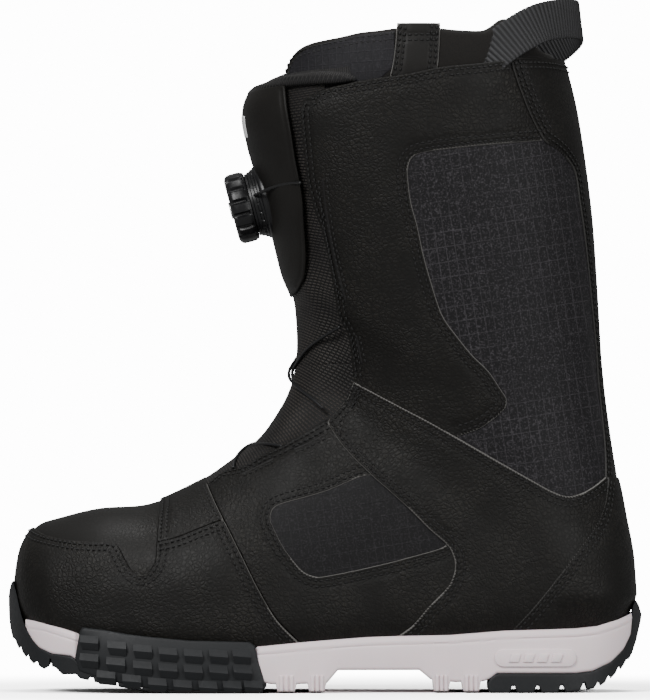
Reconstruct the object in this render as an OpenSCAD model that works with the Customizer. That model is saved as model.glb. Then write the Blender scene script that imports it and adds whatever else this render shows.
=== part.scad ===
// Left snowboard boot with a dial-tensioned cable, in its own frame:
// the toe points to -X, the outer (lateral) side to -Y, and the sole rests on Z = 0.

/* [Upper] */
// Thickness of the outer fabric and leather panels
panel_t = 2.4; // [1.6:0.1:3]
// Depth below the outer surface where the liner starts
liner_start = 4; // [3.8:0.1:5]
// Depth below the outer surface of the liner's inside in the foot
foot_liner_end = 10; // [8:0.5:12]
// Depth below the outer surface of the liner's inside in the shaft
shaft_liner_end = 14; // [11:0.5:16]

/* [Sole] */
// Half of the sole's greatest width
sole_half_w = 55; // [52:1:58]
// Thickness of the lasting board under the liner
board_t = 2.6; // [2:0.1:3]
// Thickness of the shank
shank_t = 2; // [1.5:0.5:3]
// Width of the shank
shank_w = 18; // [14:1:24]
// Thickness of the removable footbed
footbed_t = 4; // [3:0.5:5]
// Thickness of the rubber wrap on the sole's sides
grip_t = 4; // [3:0.5:5]
// Depth of the grooves between the outsole's lugs
groove_d = 3; // [2:0.5:4]

/* [Dial] */
// Diameter of the tension dial
dial_d = 34; // [30:1:36]
// Height of the dial
dial_h = 9.5; // [8:0.5:11]
// Height of the dial's housing on the tongue
housing_h = 7; // [6:0.5:9]
// How far the dial's axis points below level
dial_tilt = 15; // [10:1:20]
// Diameter of the tension cable
cable_d = 1.6; // [1.2:0.1:2]

/* [Tongue] */
// Thickness of the tongue's padding
tongue_pad_t = 6.5; // [5:0.5:8]
// Gap between the tongue and the shaft's front edge
tongue_gap = 0.6; // [0.4:0.1:1]

/* [Hidden] */

leather_c = "#2a2724";
ripstop_c = "#232228";
rubber_c = "#24272a";
foam_c = "#dfd6d7";
mesh_c = "#2c2825";
liner_c = "#1d1d1f";
plastic_c = "#151517";
steel_c = "#9a9da0";
cable_c = "#0d0d0e";

RING = 28;      // points round each section
STEPS = 2;      // rings from one section to the next
WIDE = 90;      // reach of a cutting prism to each side
JOIN = 0.02;    // overlap that joins solids in one node

// Sections of the upper, from the nose round the instep and up the shaft.
// Each is front x, front z, back x, back z, half width, where the width is greatest
// (0 front to 1 back), power of the front half, power of the back half, side shift.
SECTIONS = [
    [-146.8, 61, -146.8, 42, 9, 0.5, 2, 2, 7],
    [-144.5, 69, -144.5, 35, 23, 0.52, 2, 2.6, 6.5],
    [-138, 79, -138, 28, 35, 0.58, 2, 3.2, 6],
    [-127, 83, -127, 23, 43, 0.6, 2.1, 4, 5],
    [-108, 87.5, -108, 20, 49, 0.62, 2.2, 5, 3.5],
    [-84, 90.5, -84, 17.5, 52, 0.62, 2.2, 5, 2],
    [-60, 101, -57, 15, 53, 0.62, 2.1, 5, 0.5],
    [-41, 113, -32, 14, 52, 0.62, 2, 5, 0],
    [-30, 122, -2, 16.5, 49, 0.6, 2, 5, 0],
    [-21, 135, 36, 19, 46, 0.58, 2, 5, 0],
    [-17, 144.5, 88, 21, 44.5, 0.55, 2, 5, 0],
    [-15.2, 152.5, 126, 25, 43.6, 0.53, 2, 4.2, 0],
    [-14, 161, 146.2, 30, 43, 0.52, 2, 3.6, 0],
    [-14, 173, 148.5, 60, 44, 0.5, 2, 2.5, 0],
    [-15.5, 188, 144, 87, 46, 0.5, 2.1, 2.3, 0],
    [-20, 200, 137, 120, 49, 0.5, 2.2, 2.2, 0],
    [-24, 216, 133, 154, 52, 0.5, 2.2, 2.2, 0],
    [-30, 240, 130.5, 192, 55, 0.5, 2.3, 2.2, 0],
    [-36.5, 262, 127, 231, 57.5, 0.5, 2.3, 2.3, 0],
    [-38.5, 280, 121, 274, 59, 0.5, 2.3, 2.3, 0],
    [-30, 300, 115, 302, 59.5, 0.5, 2.3, 2.3, 0],
    [-26, 322, 108, 334, 56, 0.5, 2.3, 2.3, 0]];
NOSE_X = -130;  // the nose's sections also move back with depth, from here forward

// Where the upper meets the sole, from toe to heel, as x, z
FEATHER = [[-149, 37], [-143, 35], [-135, 34], [-125, 31], [-117, 28.5], [-95, 26], [-65, 23.5],
    [-33, 22.5], [-12, 24.5], [0, 25.5], [20, 27], [35, 27.5], [60, 28], [85, 30], [120, 31],
    [130, 32], [140, 35], [147, 38]];

// Half outline of the sole seen from above, outer side then inner side, as x, y
OUTER_PLAN = [[-152, 7], [-150.5, -5], [-145, -20], [-134, -34], [-118, -45], [-95, -53],
    [-68, -sole_half_w], [-38, -54], [-8, -50], [22, -47], [52, -45], [82, -44.5], [110, -43],
    [130, -36.5], [144, -24], [150.5, -10], [152, 0]];
INNER_PLAN = [[150.5, 10], [144, 24], [130, 36.5], [110, 42], [82, 42.5], [52, 41], [22, 42],
    [-8, 47], [-38, 53], [-68, sole_half_w], [-95, 54], [-118, 48], [-134, 40], [-145, 29],
    [-150.5, 18]];

// Panel edges in the side view, as x, z
TOE_CAP_EDGE = [[-150, 80], [-140, 78], [-132, 74], [-120, 72], [-103, 71.5], [-99, 70], [-95, 63],
    [-92, 58.5], [-88, 56.5], [-84, 58], [-81, 63], [-80.5, 70]];
VAMP_SEAM = [[-80.5, 71], [-70, 74], [-60, 78], [-50, 82]];
QUARTER_FRONT = [[-56, 99], [-50, 86], [-40, 66], [-32, 50], [-23, 35], [-12, 20]];
QUARTER_TOP = [[-56, 99], [-48, 105], [-38, 108], [-30, 113], [-20, 118], [-8, 125], [1, 130]];
INSET_OUTLINE = [[-18, 91], [0, 96], [21, 104], [40, 88], [57, 71.5], [40, 65], [20, 60], [0, 56],
    [-8, 57], [-14, 62], [-20, 70], [-25, 80], [-24, 88]];
ANKLE_FRONT = [[14, 149], [12, 142], [9, 138], [1, 130], [3, 126], [10, 116], [21, 104], [40, 88],
    [57, 71.5], [61, 66], [61, 57], [50, 42], [35, 26], [30, 18]];
ANKLE_TOP = [[14, 149], [20, 146], [35, 138], [50, 130], [75, 115.5], [100, 101], [108, 96.5],
    [121, 95], [133.5, 103]];
HEEL_EDGE = [[133.5, 103], [133, 95], [127, 78], [112, 57], [97, 39], [84, 22]];
CUFF_FRONT = [[-10, 300], [-10.5, 278], [-10, 260], [-8, 243], [-5, 232], [2, 207], [7, 180],
    [13, 160], [14, 154]];
CUFF_BOTTOM = [[14, 154], [30, 145], [50, 132], [75, 117.5], [100, 103], [109, 98.5],
    [120, 97.5], [133, 105]];
CALF_OUTLINE = [[133, 105], [130, 150], [127, 185], [123, 222], [119, 248], [110, 260],
    [104, 264], [60, 260], [44, 255], [40, 250], [44, 224], [50, 199], [57, 179], [70, 162],
    [84, 145], [86.5, 139], [80, 130.5], [66, 123]];
STAY_FRONT = [[133, 105], [130, 150], [127, 185], [123, 222], [119, 248], [110, 260], [104, 264],
    [98, 275], [88, 303]];
LINER_TOP = [[-40, 290], [-20, 296], [-16, 305], [-5, 311], [15, 315.5], [33, 317.5], [78, 316.5],
    [88, 321.5], [93, 320], [98, 311], [104, 306], [125, 305]];
SHIELD_REAR = [[-19, 289], [-16, 268], [-12, 245], [-10, 225], [-10, 200], [-15, 190], [-30, 186]];
TONGUE_FLOOR = 157;  // underside of the tongue above the instep crease
CREASE = 148;        // top of the tongue's fixed base
FRONT_FAR = -80;     // beyond the front of the shaft
BACK_FAR = 170;      // beyond the heel
TOP_FAR = 340;       // above the boot

// Dial place: where its axis leaves the tongue's surface
DIAL_SEAT = [-28.5, 0, 235];
KNOB_R = dial_d / 2;
AXLE_R = 3;
FIT = 0.05;
SPOOL_R = 11;
LOBES = 16;
LOBE_R = 2.4;   // radius of one grip lobe

// Cable routes on the outer side as x, y, z; the inner side mirrors them
UPPER_ROUTE = [[-33.6, -12.5, 237.8], [-33.2, -17, 238], [-30.3, -22.5, 239.4], [-25.5, -28, 241.5],
    [-20.7, -33.8, 243], [-15.3, -40.1, 243.8], [-11.5, -44, 243.8]];
ANKLE_ROUTE = [[6.5, -34.5, 175], [-1, -27.8, 170.5], [-9, -17.5, 164.5], [-14, -8, 158],
    [-16.5, 2, 153], [-15, 12.5, 148.5], [-7, 24, 142], [0, 30.5, 136]];
LOWER_ROUTE = [[-21, -27.5, 118.5], [-28.5, -19, 119.5], [-34, -9.5, 119], [-38.3, 0, 116.5],
    [-41, 9, 113.5], [-42.5, 17, 110.5], [-42.8, 21.6, 107.9]];
CABLE_SIDES = 8;

// Pull loop: centre line of the webbing as x, y, z
LOOP_ROUTE = [[78, -53.5, 300], [86, -49.5, 307.5], [94, -44, 314], [103, -35.5, 319],
    [112, -23, 321], [118.5, -10, 321], [120.5, 2, 320], [118.5, 14, 317], [113, 25, 312.5],
    [106, 34, 307], [99, 41, 300]];
LOOP_W = 19;
LOOP_T = 2.2;
LOOP_CLEAR = 0.7;   // the liner stays this far from the loop as it swings
LOOP_SWING = 25;     // degrees
LOOP_SWING_STEP = 5;
LOOP_PIVOT = [104, 0, 305];
LOOP_AXIS = [0.134, 0.991, 0];
LOOP_FOOT = 304.8;   // where the webbing leaves the collar
LOOP_HUB = [98, -4]; // middle of the loop seen from above, as x, y

// Webbing guides that hold the cable, in the side view
LOWER_GUIDES = [[[-46, 100], [-37, 105], [-39, 108], [-47, 105.2]],
    [[-18, 114], [-9, 119], [-12, 122.6], [-20, 118]],
    [[2, 126], [8, 132], [4, 132.5], [0, 129]]];
CUFF_GUIDES = [[[-8.4, 249], [-1, 248], [0, 238], [-6, 238]],
    [[8.6, 179], [16, 178], [18, 168], [11.6, 168]]];
GUIDE_T = 1.6;

// ---- Curves and surfaces ----

// Point between p1 and p2 on a smooth curve through four points
function smooth(p0, p1, p2, p3, t) =
    p1 + t * ((p2 - p0) / 2 + t * ((2 * p0 - 5 * p1 + 4 * p2 - p3) / 2
    + t * (3 * p1 - p0 - 3 * p2 + p3) / 2));

// A smooth line through points, with n steps from one to the next
function curve(points, n) = let (last = len(points) - 1) concat(
    [for (i = [0:last - 1], k = [0:n - 1])
        smooth(points[max(i - 1, 0)], points[i], points[i + 1], points[min(i + 2, last)], k / n)],
    [points[last]]);

function reversed(points) = [for (i = [len(points) - 1:-1:0]) points[i]];
function signed_power(v, p) = sign(v) * pow(abs(v), p);

// One ring of the upper at a depth below the outer surface
function ring(s, depth) = let (
    back = depth * max(0, min(1, (NOSE_X - s[0]) / (NOSE_X - SECTIONS[0][0]))),
    line = [s[2] - s[0], s[3] - s[1]],
    inset = min(depth / norm(line), 0.38),
    half = max(s[4] - depth, s[4] * 0.25))
    [for (k = [0:RING - 1]) let (
        a = 360 * k / RING,
        p = cos(a) > 0 ? 2 / s[6] : 2 / s[7],
        u = signed_power(cos(a), p),
        t = cos(a) > 0 ? s[5] - (s[5] - inset) * u : s[5] - (1 - inset - s[5]) * u)
        [s[0] + line[0] * t + back, s[8] + half * signed_power(sin(a), p), s[1] + line[1] * t]];

// The closed body of the upper at a depth below its outer surface
module last_body(depth) {
    sections = curve(SECTIONS, STEPS);
    count = len(sections);
    points = [for (s = sections) each ring(s, depth)];
    polyhedron(points, concat(
        [[for (k = [RING - 1:-1:0]) k]],
        [for (i = [0:count - 2], k = [0:RING - 1]) let (
            a = i * RING + k,
            b = i * RING + (k + 1) % RING)
            each [[a, b, a + RING], [b, b + RING, a + RING]]],
        [[for (k = [0:RING - 1]) (count - 1) * RING + k]]));
}

// Everything inside a side-view outline: side -1 is the outer half, 1 the inner half, 0 both
module side_prism(outline, side = 0) {
    y = side == -1 ? 0 : WIDE;
    h = side == 0 ? 2 * WIDE : WIDE;
    translate([0, y, 0]) rotate([90, 0, 0]) linear_extrude(h) polygon(outline);
}

// A piece of the upper between two depths, cut to a side-view outline
module skin(outline, side, outer, inner) {
    resize([0, 0, 0]) intersection() {
        difference() {
            last_body(outer);
            last_body(inner);
        }
        side_prism(outline, side);
    }
}

// An edge line moved along x and z
function moved(points, dx, dz) = [for (p = points) [p[0] + dx, p[1] + dz]];

// The sole's outline seen from above, moved out by grow
function plan(grow) = let (
    points = curve(concat(OUTER_PLAN, INNER_PLAN, [OUTER_PLAN[0]]), 2),
    n = len(points) - 1)
    [for (i = [0:n - 1]) let (
        along = points[(i + 1) % n] - points[(i + n - 1) % n],
        out = [along[1], -along[0]] / norm(along))
        points[i] + grow * out];

module plan_prism(grow) {
    linear_extrude(TOP_FAR) polygon(plan(grow));
}

// A swept tube with a ring of points at each place on its route
module tube(route, d) {
    n = len(route);
    dirs = [for (i = [0:n - 1]) let (v = route[min(i + 1, n - 1)] - route[max(i - 1, 0)]) v / norm(v)];
    points = [for (i = [0:n - 1]) let (
        side = cross(dirs[i], [0, 0, 1]) / norm(cross(dirs[i], [0, 0, 1])),
        up = cross(side, dirs[i]))
        each [for (k = [0:CABLE_SIDES - 1]) let (a = 360 * k / CABLE_SIDES)
            route[i] + d / 2 * (cos(a) * side + sin(a) * up)]];
    polyhedron(points, concat(
        [[for (k = [0:CABLE_SIDES - 1]) k]],
        [for (i = [0:n - 2], k = [0:CABLE_SIDES - 1]) let (
            a = i * CABLE_SIDES + k,
            b = i * CABLE_SIDES + (k + 1) % CABLE_SIDES)
            each [[a, a + CABLE_SIDES, b], [b, a + CABLE_SIDES, b + CABLE_SIDES]]],
        [[for (k = [CABLE_SIDES - 1:-1:0]) (n - 1) * CABLE_SIDES + k]]));
}

function mirrored(route) = [for (p = route) [p[0], -p[1], p[2]]];

// ---- Sole ----

// Grooves across the sole, cut up from the ground
module grooves(places) {
    for (x = places)
        translate([x, -WIDE, -1]) cube([3.5, 2 * WIDE, groove_d + 1]);
}

// Side view of the rubber wrap on the forefoot's sides
GRIP_OUTLINE = [[-119, 15.5], [-118, 29], [-116, 31.5], [-105, 30], [-95, 28], [-65, 25.5],
    [-33, 24.5], [-32, 17], [-28.5, 6.2], [-75, 6.8], [-100, 10.5]];

module midsole() {
    lugs = [[138, 12], [130, 10], [120, 9.2], [82, 9.2], [77, 6], [74, 0.6], [65, 0.6], [62.5, 5],
        [59.7, 0.6], [51.4, 0.6], [48, 8], [43, 11], [7, 11], [2, 7], [0.5, 0.6], [-7.7, 0.6],
        [-10.5, 5], [-13.5, 0.6], [-23, 0.6], [-26, 6.2]];
    front = [[-75, 6.8], [-100, 10.5], [-119, 15.5], [-133, 21], [-139, 24.5], [-142, 29]];
    top = [for (p = FEATHER) if (p[0] > -144) p];
    recess = [[-118, 60], [-118, 29], [-119, 15.5], [-120, 3], [-27.8, 3], [-32, 17], [-33, 24.5], [-33, 60]];
    color(foam_c) difference() {
        intersection() {
            side_prism(concat(top, [[147.8, 30], [146.8, 22], [144, 17]], lugs, front));
            plan_prism(0);
        }
        difference() {
            side_prism(recess);
            plan_prism(-grip_t - JOIN);
        }
        shank_bar(1);
    }
}

// The shank lies in the midsole's top, under the board
module shank_bar(high) {
    intersection() {
        side_prism(strip(-shank_t, high, -13, 61));
        translate([-WIDE, -shank_w / 2, 0]) cube([2 * WIDE, shank_w, WIDE]);
    }
}

module grip_pad(side) {
    color(rubber_c) resize([0, 0, 0]) difference() {
        intersection() {
            side_prism(GRIP_OUTLINE, side);
            plan_prism(0.8);
        }
        plan_prism(-grip_t);
        last_body(-0.1);
    }
}

module forefoot_outsole() {
    tread = [[-28, 1], [-40, 0], [-75, 0], [-90, 2], [-100, 4], [-118, 8.5], [-124, 9], [-128, 12],
        [-133, 12], [-142, 17], [-146, 21], [-150, 27], [-152, 35], [-152, 44], [-150.5, 53]];
    inside = [[-147.4, 52], [-147.3, 36.2], [-143.8, 35], [-142.2, 29.2], [-139.2, 24.5],
        [-133, 21], [-119, 15.5], [-100, 10.5], [-75, 6.8], [-28.5, 6.2]];
    color(rubber_c) difference() {
        intersection() {
            side_prism(concat(tread, inside));
            plan_prism(0);
        }
        grooves([-118, -106, -94, -82, -47, -36]);
    }
}

module heel_outsole() {
    outline = [[78.5, 1.5], [80, 0], [125, 0], [134, 4], [142, 10.5], [148, 20], [151.5, 30],
        [152, 36], [151.6, 38.1], [147.2, 37.8], [148.2, 30], [147.2, 22], [144.4, 16.6],
        [138.2, 11.7], [130, 9.8], [120, 9], [82.2, 9]];
    color(rubber_c) difference() {
        intersection() {
            side_prism(outline);
            plan_prism(0);
        }
        grooves([87, 100, 113]);
    }
}

module lateral_grip_pad() { grip_pad(-1); }
module medial_grip_pad() { grip_pad(1); }

// The strip that follows the feather line, from one height above it to another
function strip(low, high, first, last) = let (
    line = [for (p = FEATHER) if (p[0] >= first && p[0] <= last) p])
    concat(moved(line, 0, low), reversed(moved(line, 0, high)));

// A layer of the foot's bed cut from the inside of the upper
module bed_layer(low, high, depth, first, last) {
    resize([0, 0, 0]) intersection() {
        last_body(depth);
        side_prism(strip(low, high, first, last));
    }
}

module lasting_board() {
    color("#b9a88a") bed_layer(0.1, board_t, liner_start, -144, 146);
}

module shank() {
    color(steel_c) shank_bar(0);
}

module footbed() {
    color("#3a3d42") bed_layer(board_t + 4.3, board_t + 4.3 + footbed_t, foot_liner_end + 0.4, -136, 136);
}

// ---- Lower upper ----

module toe_cap() {
    color(leather_c) skin(concat([[-160, 80]], TOE_CAP_EDGE, [[-80.5, 71], [-80.5, 130], [-160, 130]]),
        0, 0, panel_t);
}

module vamp() {
    color(leather_c) skin(concat(VAMP_SEAM, [QUARTER_FRONT[0], [-56, 130], [-80.5, 130]]), 0, 0, panel_t);
}

module toe_rand() {
    foot = [for (p = FEATHER) if (p[0] < -15) p];
    side = [[-12.5, 24.5], [-23, 35], [-32, 50], [-40, 66], [-50, 82]];
    color(leather_c) skin(concat([[-160, 37]], foot, side, reversed(VAMP_SEAM), reversed(TOE_CAP_EDGE),
        [[-160, 80]]), 0, 0, panel_t);
}

module toe_puff() {
    color(plastic_c) skin([[-160, 80], [-160, 50], [-141, 45], [-120, 48], [-108, 60], [-108, 120],
        [-160, 120]], 0, panel_t + 0.1, liner_start - 0.1);
}

module quarter(side) {
    foot = [for (p = FEATHER) if (p[0] > -12.5 && p[0] < 36) p];
    front = [for (p = QUARTER_FRONT) if (p[1] > 25 && p[1] < 98) p];
    ankle = [for (p = ANKLE_FRONT) if (p[1] < 131 && p[1] > 27) p];
    color(leather_c) resize([0, 0, 0]) difference() {
        skin(concat(QUARTER_TOP, ankle, reversed(foot), [[-12.5, 24.5]], reversed(front)),
            side, 0, panel_t);
        side_prism(INSET_OUTLINE, side);
    }
}

module midfoot_inset(side) {
    color(ripstop_c) skin(INSET_OUTLINE, side, 0.6, panel_t);
}

module ankle_panel(side) {
    foot = [for (p = FEATHER) if (p[0] > 35.5 && p[0] < 90) p];
    front = [for (p = ANKLE_FRONT) if (p[1] > 27) p];
    heel = [for (p = HEEL_EDGE) if (p[1] > 31 && p[1] < 102) p];
    color(leather_c) skin(concat(reversed(front), ANKLE_TOP, heel, [[89, 30.2]], reversed(foot),
        [[36, 27.6]]), side, 0, panel_t);
}

module heel_panel() {
    foot = [for (p = FEATHER) if (p[0] > 100) [p[0], p[1] + 0.1]];
    edge = [for (p = HEEL_EDGE) if (p[1] > 31) p];
    color(leather_c) skin(concat(edge, [[89, 30.3]], foot, [[165, 38.2], [165, 103]]), 0, 0, panel_t);
}

module heel_counter() {
    color(plastic_c) skin([[165, 45], [165, 98], [128, 94], [108, 76], [95, 50], [110, 38], [150, 42]],
        0, panel_t + 0.1, liner_start - 0.1);
}

module tongue_base() {
    edge = [for (p = QUARTER_TOP) if (p[0] > -55) [p[0], p[1] + 0.4]];
    color(mesh_c) skin(concat([[-55.6, 100]], edge, [[7, 137.5], [10, 142], [13, CREASE], [-40, CREASE],
        [-55.6, 125]]), 0, 0.2, liner_start - 0.2);
}

// Guides lie on the outer surface of the upper
module guides(outlines) {
    color(mesh_c) for (side = [-1, 1], outline = outlines)
        skin(outline, side, -GUIDE_T, -JOIN);
}

module lower_guides() { guides(LOWER_GUIDES); }

module lower_lace() {
    color(cable_c) {
        tube(curve(LOWER_ROUTE, 2), cable_d);
        tube(curve(mirrored(LOWER_ROUTE) + [for (p = LOWER_ROUTE) [-2.2, 0, 0.3]], 2), cable_d);
    }
}

module ankle_lace() {
    color(cable_c) {
        tube(curve(ANKLE_ROUTE, 2), cable_d);
        tube(curve(mirrored(ANKLE_ROUTE) + [for (p = ANKLE_ROUTE) [-2.2, 0, 0]], 2), cable_d);
    }
}

// The liner's foot, hollow, with a floor above the board; from one side-view outline
module liner_foot(outline) {
    floor_line = strip(board_t + 4, TOP_FAR, -149, 148);
    resize([0, 0, 0]) intersection() {
        difference() {
            last_body(liner_start);
            intersection() {
                last_body(foot_liner_end);
                side_prism(floor_line);
            }
        }
        side_prism(outline);
    }
}

LINER_SPLIT = -10;

module liner_toe_box() {
    foot = [for (p = FEATHER) if (p[0] < LINER_SPLIT) p];
    color(liner_c) liner_foot(concat(moved(foot, 0, board_t + 0.1),
        [[LINER_SPLIT, 27.3], [LINER_SPLIT, CREASE], [-160, CREASE], [-160, 40]]));
}

module liner_heel() {
    foot = [for (p = FEATHER) if (p[0] > LINER_SPLIT) p];
    color(liner_c) liner_foot(concat([[LINER_SPLIT, CREASE], [LINER_SPLIT, 27.3]],
        moved(foot, 0, board_t + 0.1), [[165, 42], [165, 103]], reversed(ANKLE_TOP), [[13, CREASE]]));
}

// ---- Shaft ----

module cuff(side) {
    front = [for (p = CUFF_FRONT) if (p[1] < 282) p];
    bottom = [for (p = CUFF_BOTTOM) if (p[0] < 70) p];
    window = [for (i = [6:17]) CALF_OUTLINE[i]];
    color(leather_c) skin(concat(front, bottom, reversed(window), [[98, 275], [88, 303], [55, 299],
        [20, 293], [0, 288.5], [-8, 285]]), side, 0, panel_t);
}

module calf_inset(side) {
    bottom = [for (p = CUFF_BOTTOM) if (p[0] > 70) p];
    outline = [for (i = [1:17]) CALF_OUTLINE[i]];
    color(ripstop_c) skin(concat(bottom, outline), side, 0.6, panel_t);
}

module back_stay() {
    color(leather_c) skin(concat(STAY_FRONT, [[112, 304], [165, 300], [165, 105]]), 0, 0, panel_t);
}

module cuff_guides() { guides(CUFF_GUIDES); }

module liner_cuff() {
    edge = [for (p = CUFF_FRONT) if (p[1] > 153 && p[1] < 300) p];
    top = reversed([for (p = LINER_TOP) if (p[0] > -10) p]);
    color(liner_c) resize([0, 0, 0]) difference() {
        skin(concat([[-12.5, 305], [-8.5, 288]], moved(edge, 0.5, 0), CUFF_BOTTOM,
            [[165, 105], [165, 310]], top), 0, liner_start, shaft_liner_end);
        for (turn = [0:LOOP_SWING_STEP:LOOP_SWING + LOOP_SWING_STEP])
            translate(LOOP_PIVOT) rotate(turn, LOOP_AXIS) translate(-LOOP_PIVOT) loop_strap(LOOP_CLEAR);
    }
}

module liner_strap() {
    color(liner_c) skin([[32, 300], [54, 300], [54, 319], [32, 319]],
        -1, liner_start - 1.2, liner_start - 0.1);
}

// ---- Tongue ----

// Everything in front of the shaft's edge and above the crease
TONGUE_REAR = [for (p = CUFF_FRONT) if (p[1] > 159 && p[1] < 279) [p[0] - tongue_gap, p[1]]];
TONGUE_LOW = [[12.5, TONGUE_FLOOR], [FRONT_FAR, TONGUE_FLOOR]];

module tongue_pad() {
    color(mesh_c) skin(concat(TONGUE_REAR, TONGUE_LOW, [[FRONT_FAR, 282], [-38, 282], [-20, 288],
        [-11, 288]]), 0, 1.8, 1.8 + tongue_pad_t);
}

module tongue_mesh() {
    color(mesh_c) skin(concat(TONGUE_REAR, TONGUE_LOW, [[FRONT_FAR, 187], [-30, 187]],
        reversed([for (p = SHIELD_REAR) if (p[0] > -30) [p[0] + 0.3, p[1]]]), [[-11.2, 288]]), 0, 0.6, 1.7);
}

module tongue_shield() {
    color(plastic_c) skin(concat(SHIELD_REAR, [[FRONT_FAR, 186], [FRONT_FAR, 281], [-38, 283]]), 0, 0.2, 1.7);
}

module tongue_binding() {
    low = [[-11, 290], [-20, 289], [-38, 283.2], [FRONT_FAR, 280]];
    color(mesh_c) skin(concat(low, [[FRONT_FAR, 286], [-38, 286], [-20, 293.5], [-12.5, 294.3]]),
        0, 0.2, 1.8 + tongue_pad_t);
}

module liner_tongue() {
    top = [for (p = LINER_TOP) if (p[0] < -12) p];
    color(liner_c) skin(concat(TONGUE_REAR, TONGUE_LOW, [[FRONT_FAR, 290]], top, [[-14.5, 306]]),
        0, 2.2 + tongue_pad_t, shaft_liner_end);
}

// ---- Dial ----

// Places its children with +Z along the dial's axis, from the tongue's surface outward
module on_dial() {
    translate(DIAL_SEAT) rotate([0, -90 - dial_tilt, 0]) children();
}

// A saddle that fits the dial to the curve of the tongue
module dial_mount() {
    color(plastic_c) resize([0, 0, 0]) difference() {
        on_dial() translate([0, 0, -9]) cylinder(h = 9.9, r = 19, $fn = 48);
        last_body(0);
    }
}

module dial_housing() {
    color(plastic_c) on_dial() difference() {
        translate([0, 0, 1]) cylinder(h = housing_h - 1, r = 16, $fn = 72);
        translate([0, 0, 2]) cylinder(h = housing_h, r = SPOOL_R + 0.5, $fn = 72);
        cylinder(h = 4, r = 4 + FIT, $fn = 48);
        for (side = [-1, 1])
            translate([4, side * 14, 4.2]) rotate([90, 0, 0])
                cylinder(h = 12, r = 1.4, center = true, $fn = 24);
    }
}

module upper_lace() {
    color(cable_c) {
        tube(curve(UPPER_ROUTE, 2), cable_d);
        tube(curve(mirrored(UPPER_ROUTE), 2), cable_d);
    }
}

module dial_spool() {
    color(plastic_c) on_dial() {
        translate([0, 0, 1.1]) cylinder(h = 1, r = 4, $fn = 48);
        translate([0, 0, 2.1]) cylinder(h = 0.9, r = SPOOL_R, $fn = 72);
        translate([0, 0, 3]) cylinder(h = 2, r = SPOOL_R - 3, $fn = 72);
        translate([0, 0, 5]) cylinder(h = 0.9, r = SPOOL_R, $fn = 72);
        translate([0, 0, 5.9]) cylinder(h = 8, r = AXLE_R, $fn = 48);
    }
}

module ratchet_wheel() {
    color(steel_c) on_dial() translate([0, 0, 6]) difference() {
        union() {
            cylinder(h = 1, r = 9, $fn = 72);
            for (k = [0:LOBES - 1])
                rotate(k * 360 / LOBES) translate([8.4, -0.7, 0]) cube([1.6, 1.4, 1]);
        }
        translate([0, 0, -1]) cylinder(h = 3, r = AXLE_R, $fn = 48);
    }
}

module dial_knob() {
    color(plastic_c) on_dial() translate([0, 0, housing_h + 0.5]) difference() {
        union() {
            cylinder(h = dial_h, r = KNOB_R - 1, $fn = 96);
            for (k = [0:LOBES - 1])
                rotate(k * 360 / LOBES) translate([KNOB_R - LOBE_R, 0, 0])
                    cylinder(h = dial_h - 1, r = LOBE_R, $fn = 24);
        }
        translate([0, 0, -1]) cylinder(h = 3.6, r = KNOB_R - 5, $fn = 72);
        cylinder(h = 3 * dial_h, r = AXLE_R + FIT, center = true, $fn = 48);
        translate([0, 0, dial_h - 1.5]) cylinder(h = 2, r = 11, $fn = 72);
    }
}

module dial_cap() {
    color("#3b3d40") on_dial() translate([0, 0, housing_h + 0.5 + dial_h - 1.5]) difference() {
        cylinder(h = 1.2, r = 11 - FIT, $fn = 72);
        translate([0, 0, -1]) cylinder(h = 4, r = AXLE_R + FIT, $fn = 48);
    }
}

module dial_screw() {
    color(steel_c) on_dial() translate([0, 0, housing_h + 0.5 + dial_h - 0.3]) difference() {
        cylinder(h = 1, r = AXLE_R + 1, $fn = 48);
        for (turn = [0, 90])
            rotate(turn) translate([-2, -0.4, 0.5]) cube([4, 0.8, 1]);
    }
}

// ---- Pull loop ----

// The webbing of the loop, grown by a gap on every side
module loop_strap(gap) {
    route = curve(LOOP_ROUTE, 2);
    n = len(route);
    points = [for (i = [0:n - 1]) let (
        v = route[min(i + 1, n - 1)] - route[max(i - 1, 0)],
        along = v / norm(v),
        place = route[i] + (i == 0 ? -gap : i == n - 1 ? gap : 0) * along,
        out = [route[i][0] - LOOP_HUB[0], route[i][1] - LOOP_HUB[1], 2],
        wide = cross(along, out) / norm(cross(along, out)) * (LOOP_W / 2 + gap),
        thick = cross(wide, along) / norm(cross(wide, along)) * (LOOP_T / 2 + gap))
        each [place + thick + wide, place + thick - wide, place - thick - wide, place - thick + wide]];
    polyhedron(points, concat(
        [[3, 2, 1, 0]],
        [for (i = [0:n - 2], k = [0:3]) let (a = 4 * i + k, b = 4 * i + (k + 1) % 4)
            each [[a, b, a + 4], [b, b + 4, a + 4]]],
        [[4 * n - 4, 4 * n - 3, 4 * n - 2, 4 * n - 1]]));
}

module pull_loop() {
    color(mesh_c) resize([0, 0, 0]) intersection() {
        loop_strap(0);
        translate([0, -WIDE, LOOP_FOOT]) cube([BACK_FAR, 2 * WIDE, 60]);
    }
}

module lateral_quarter() { quarter(-1); }
module medial_quarter() { quarter(1); }
module lateral_midfoot_inset() { midfoot_inset(-1); }
module medial_midfoot_inset() { midfoot_inset(1); }
module lateral_ankle_panel() { ankle_panel(-1); }
module medial_ankle_panel() { ankle_panel(1); }
module lateral_cuff() { cuff(-1); }
module medial_cuff() { cuff(1); }
module lateral_calf_inset() { calf_inset(-1); }
module medial_calf_inset() { calf_inset(1); }

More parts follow.
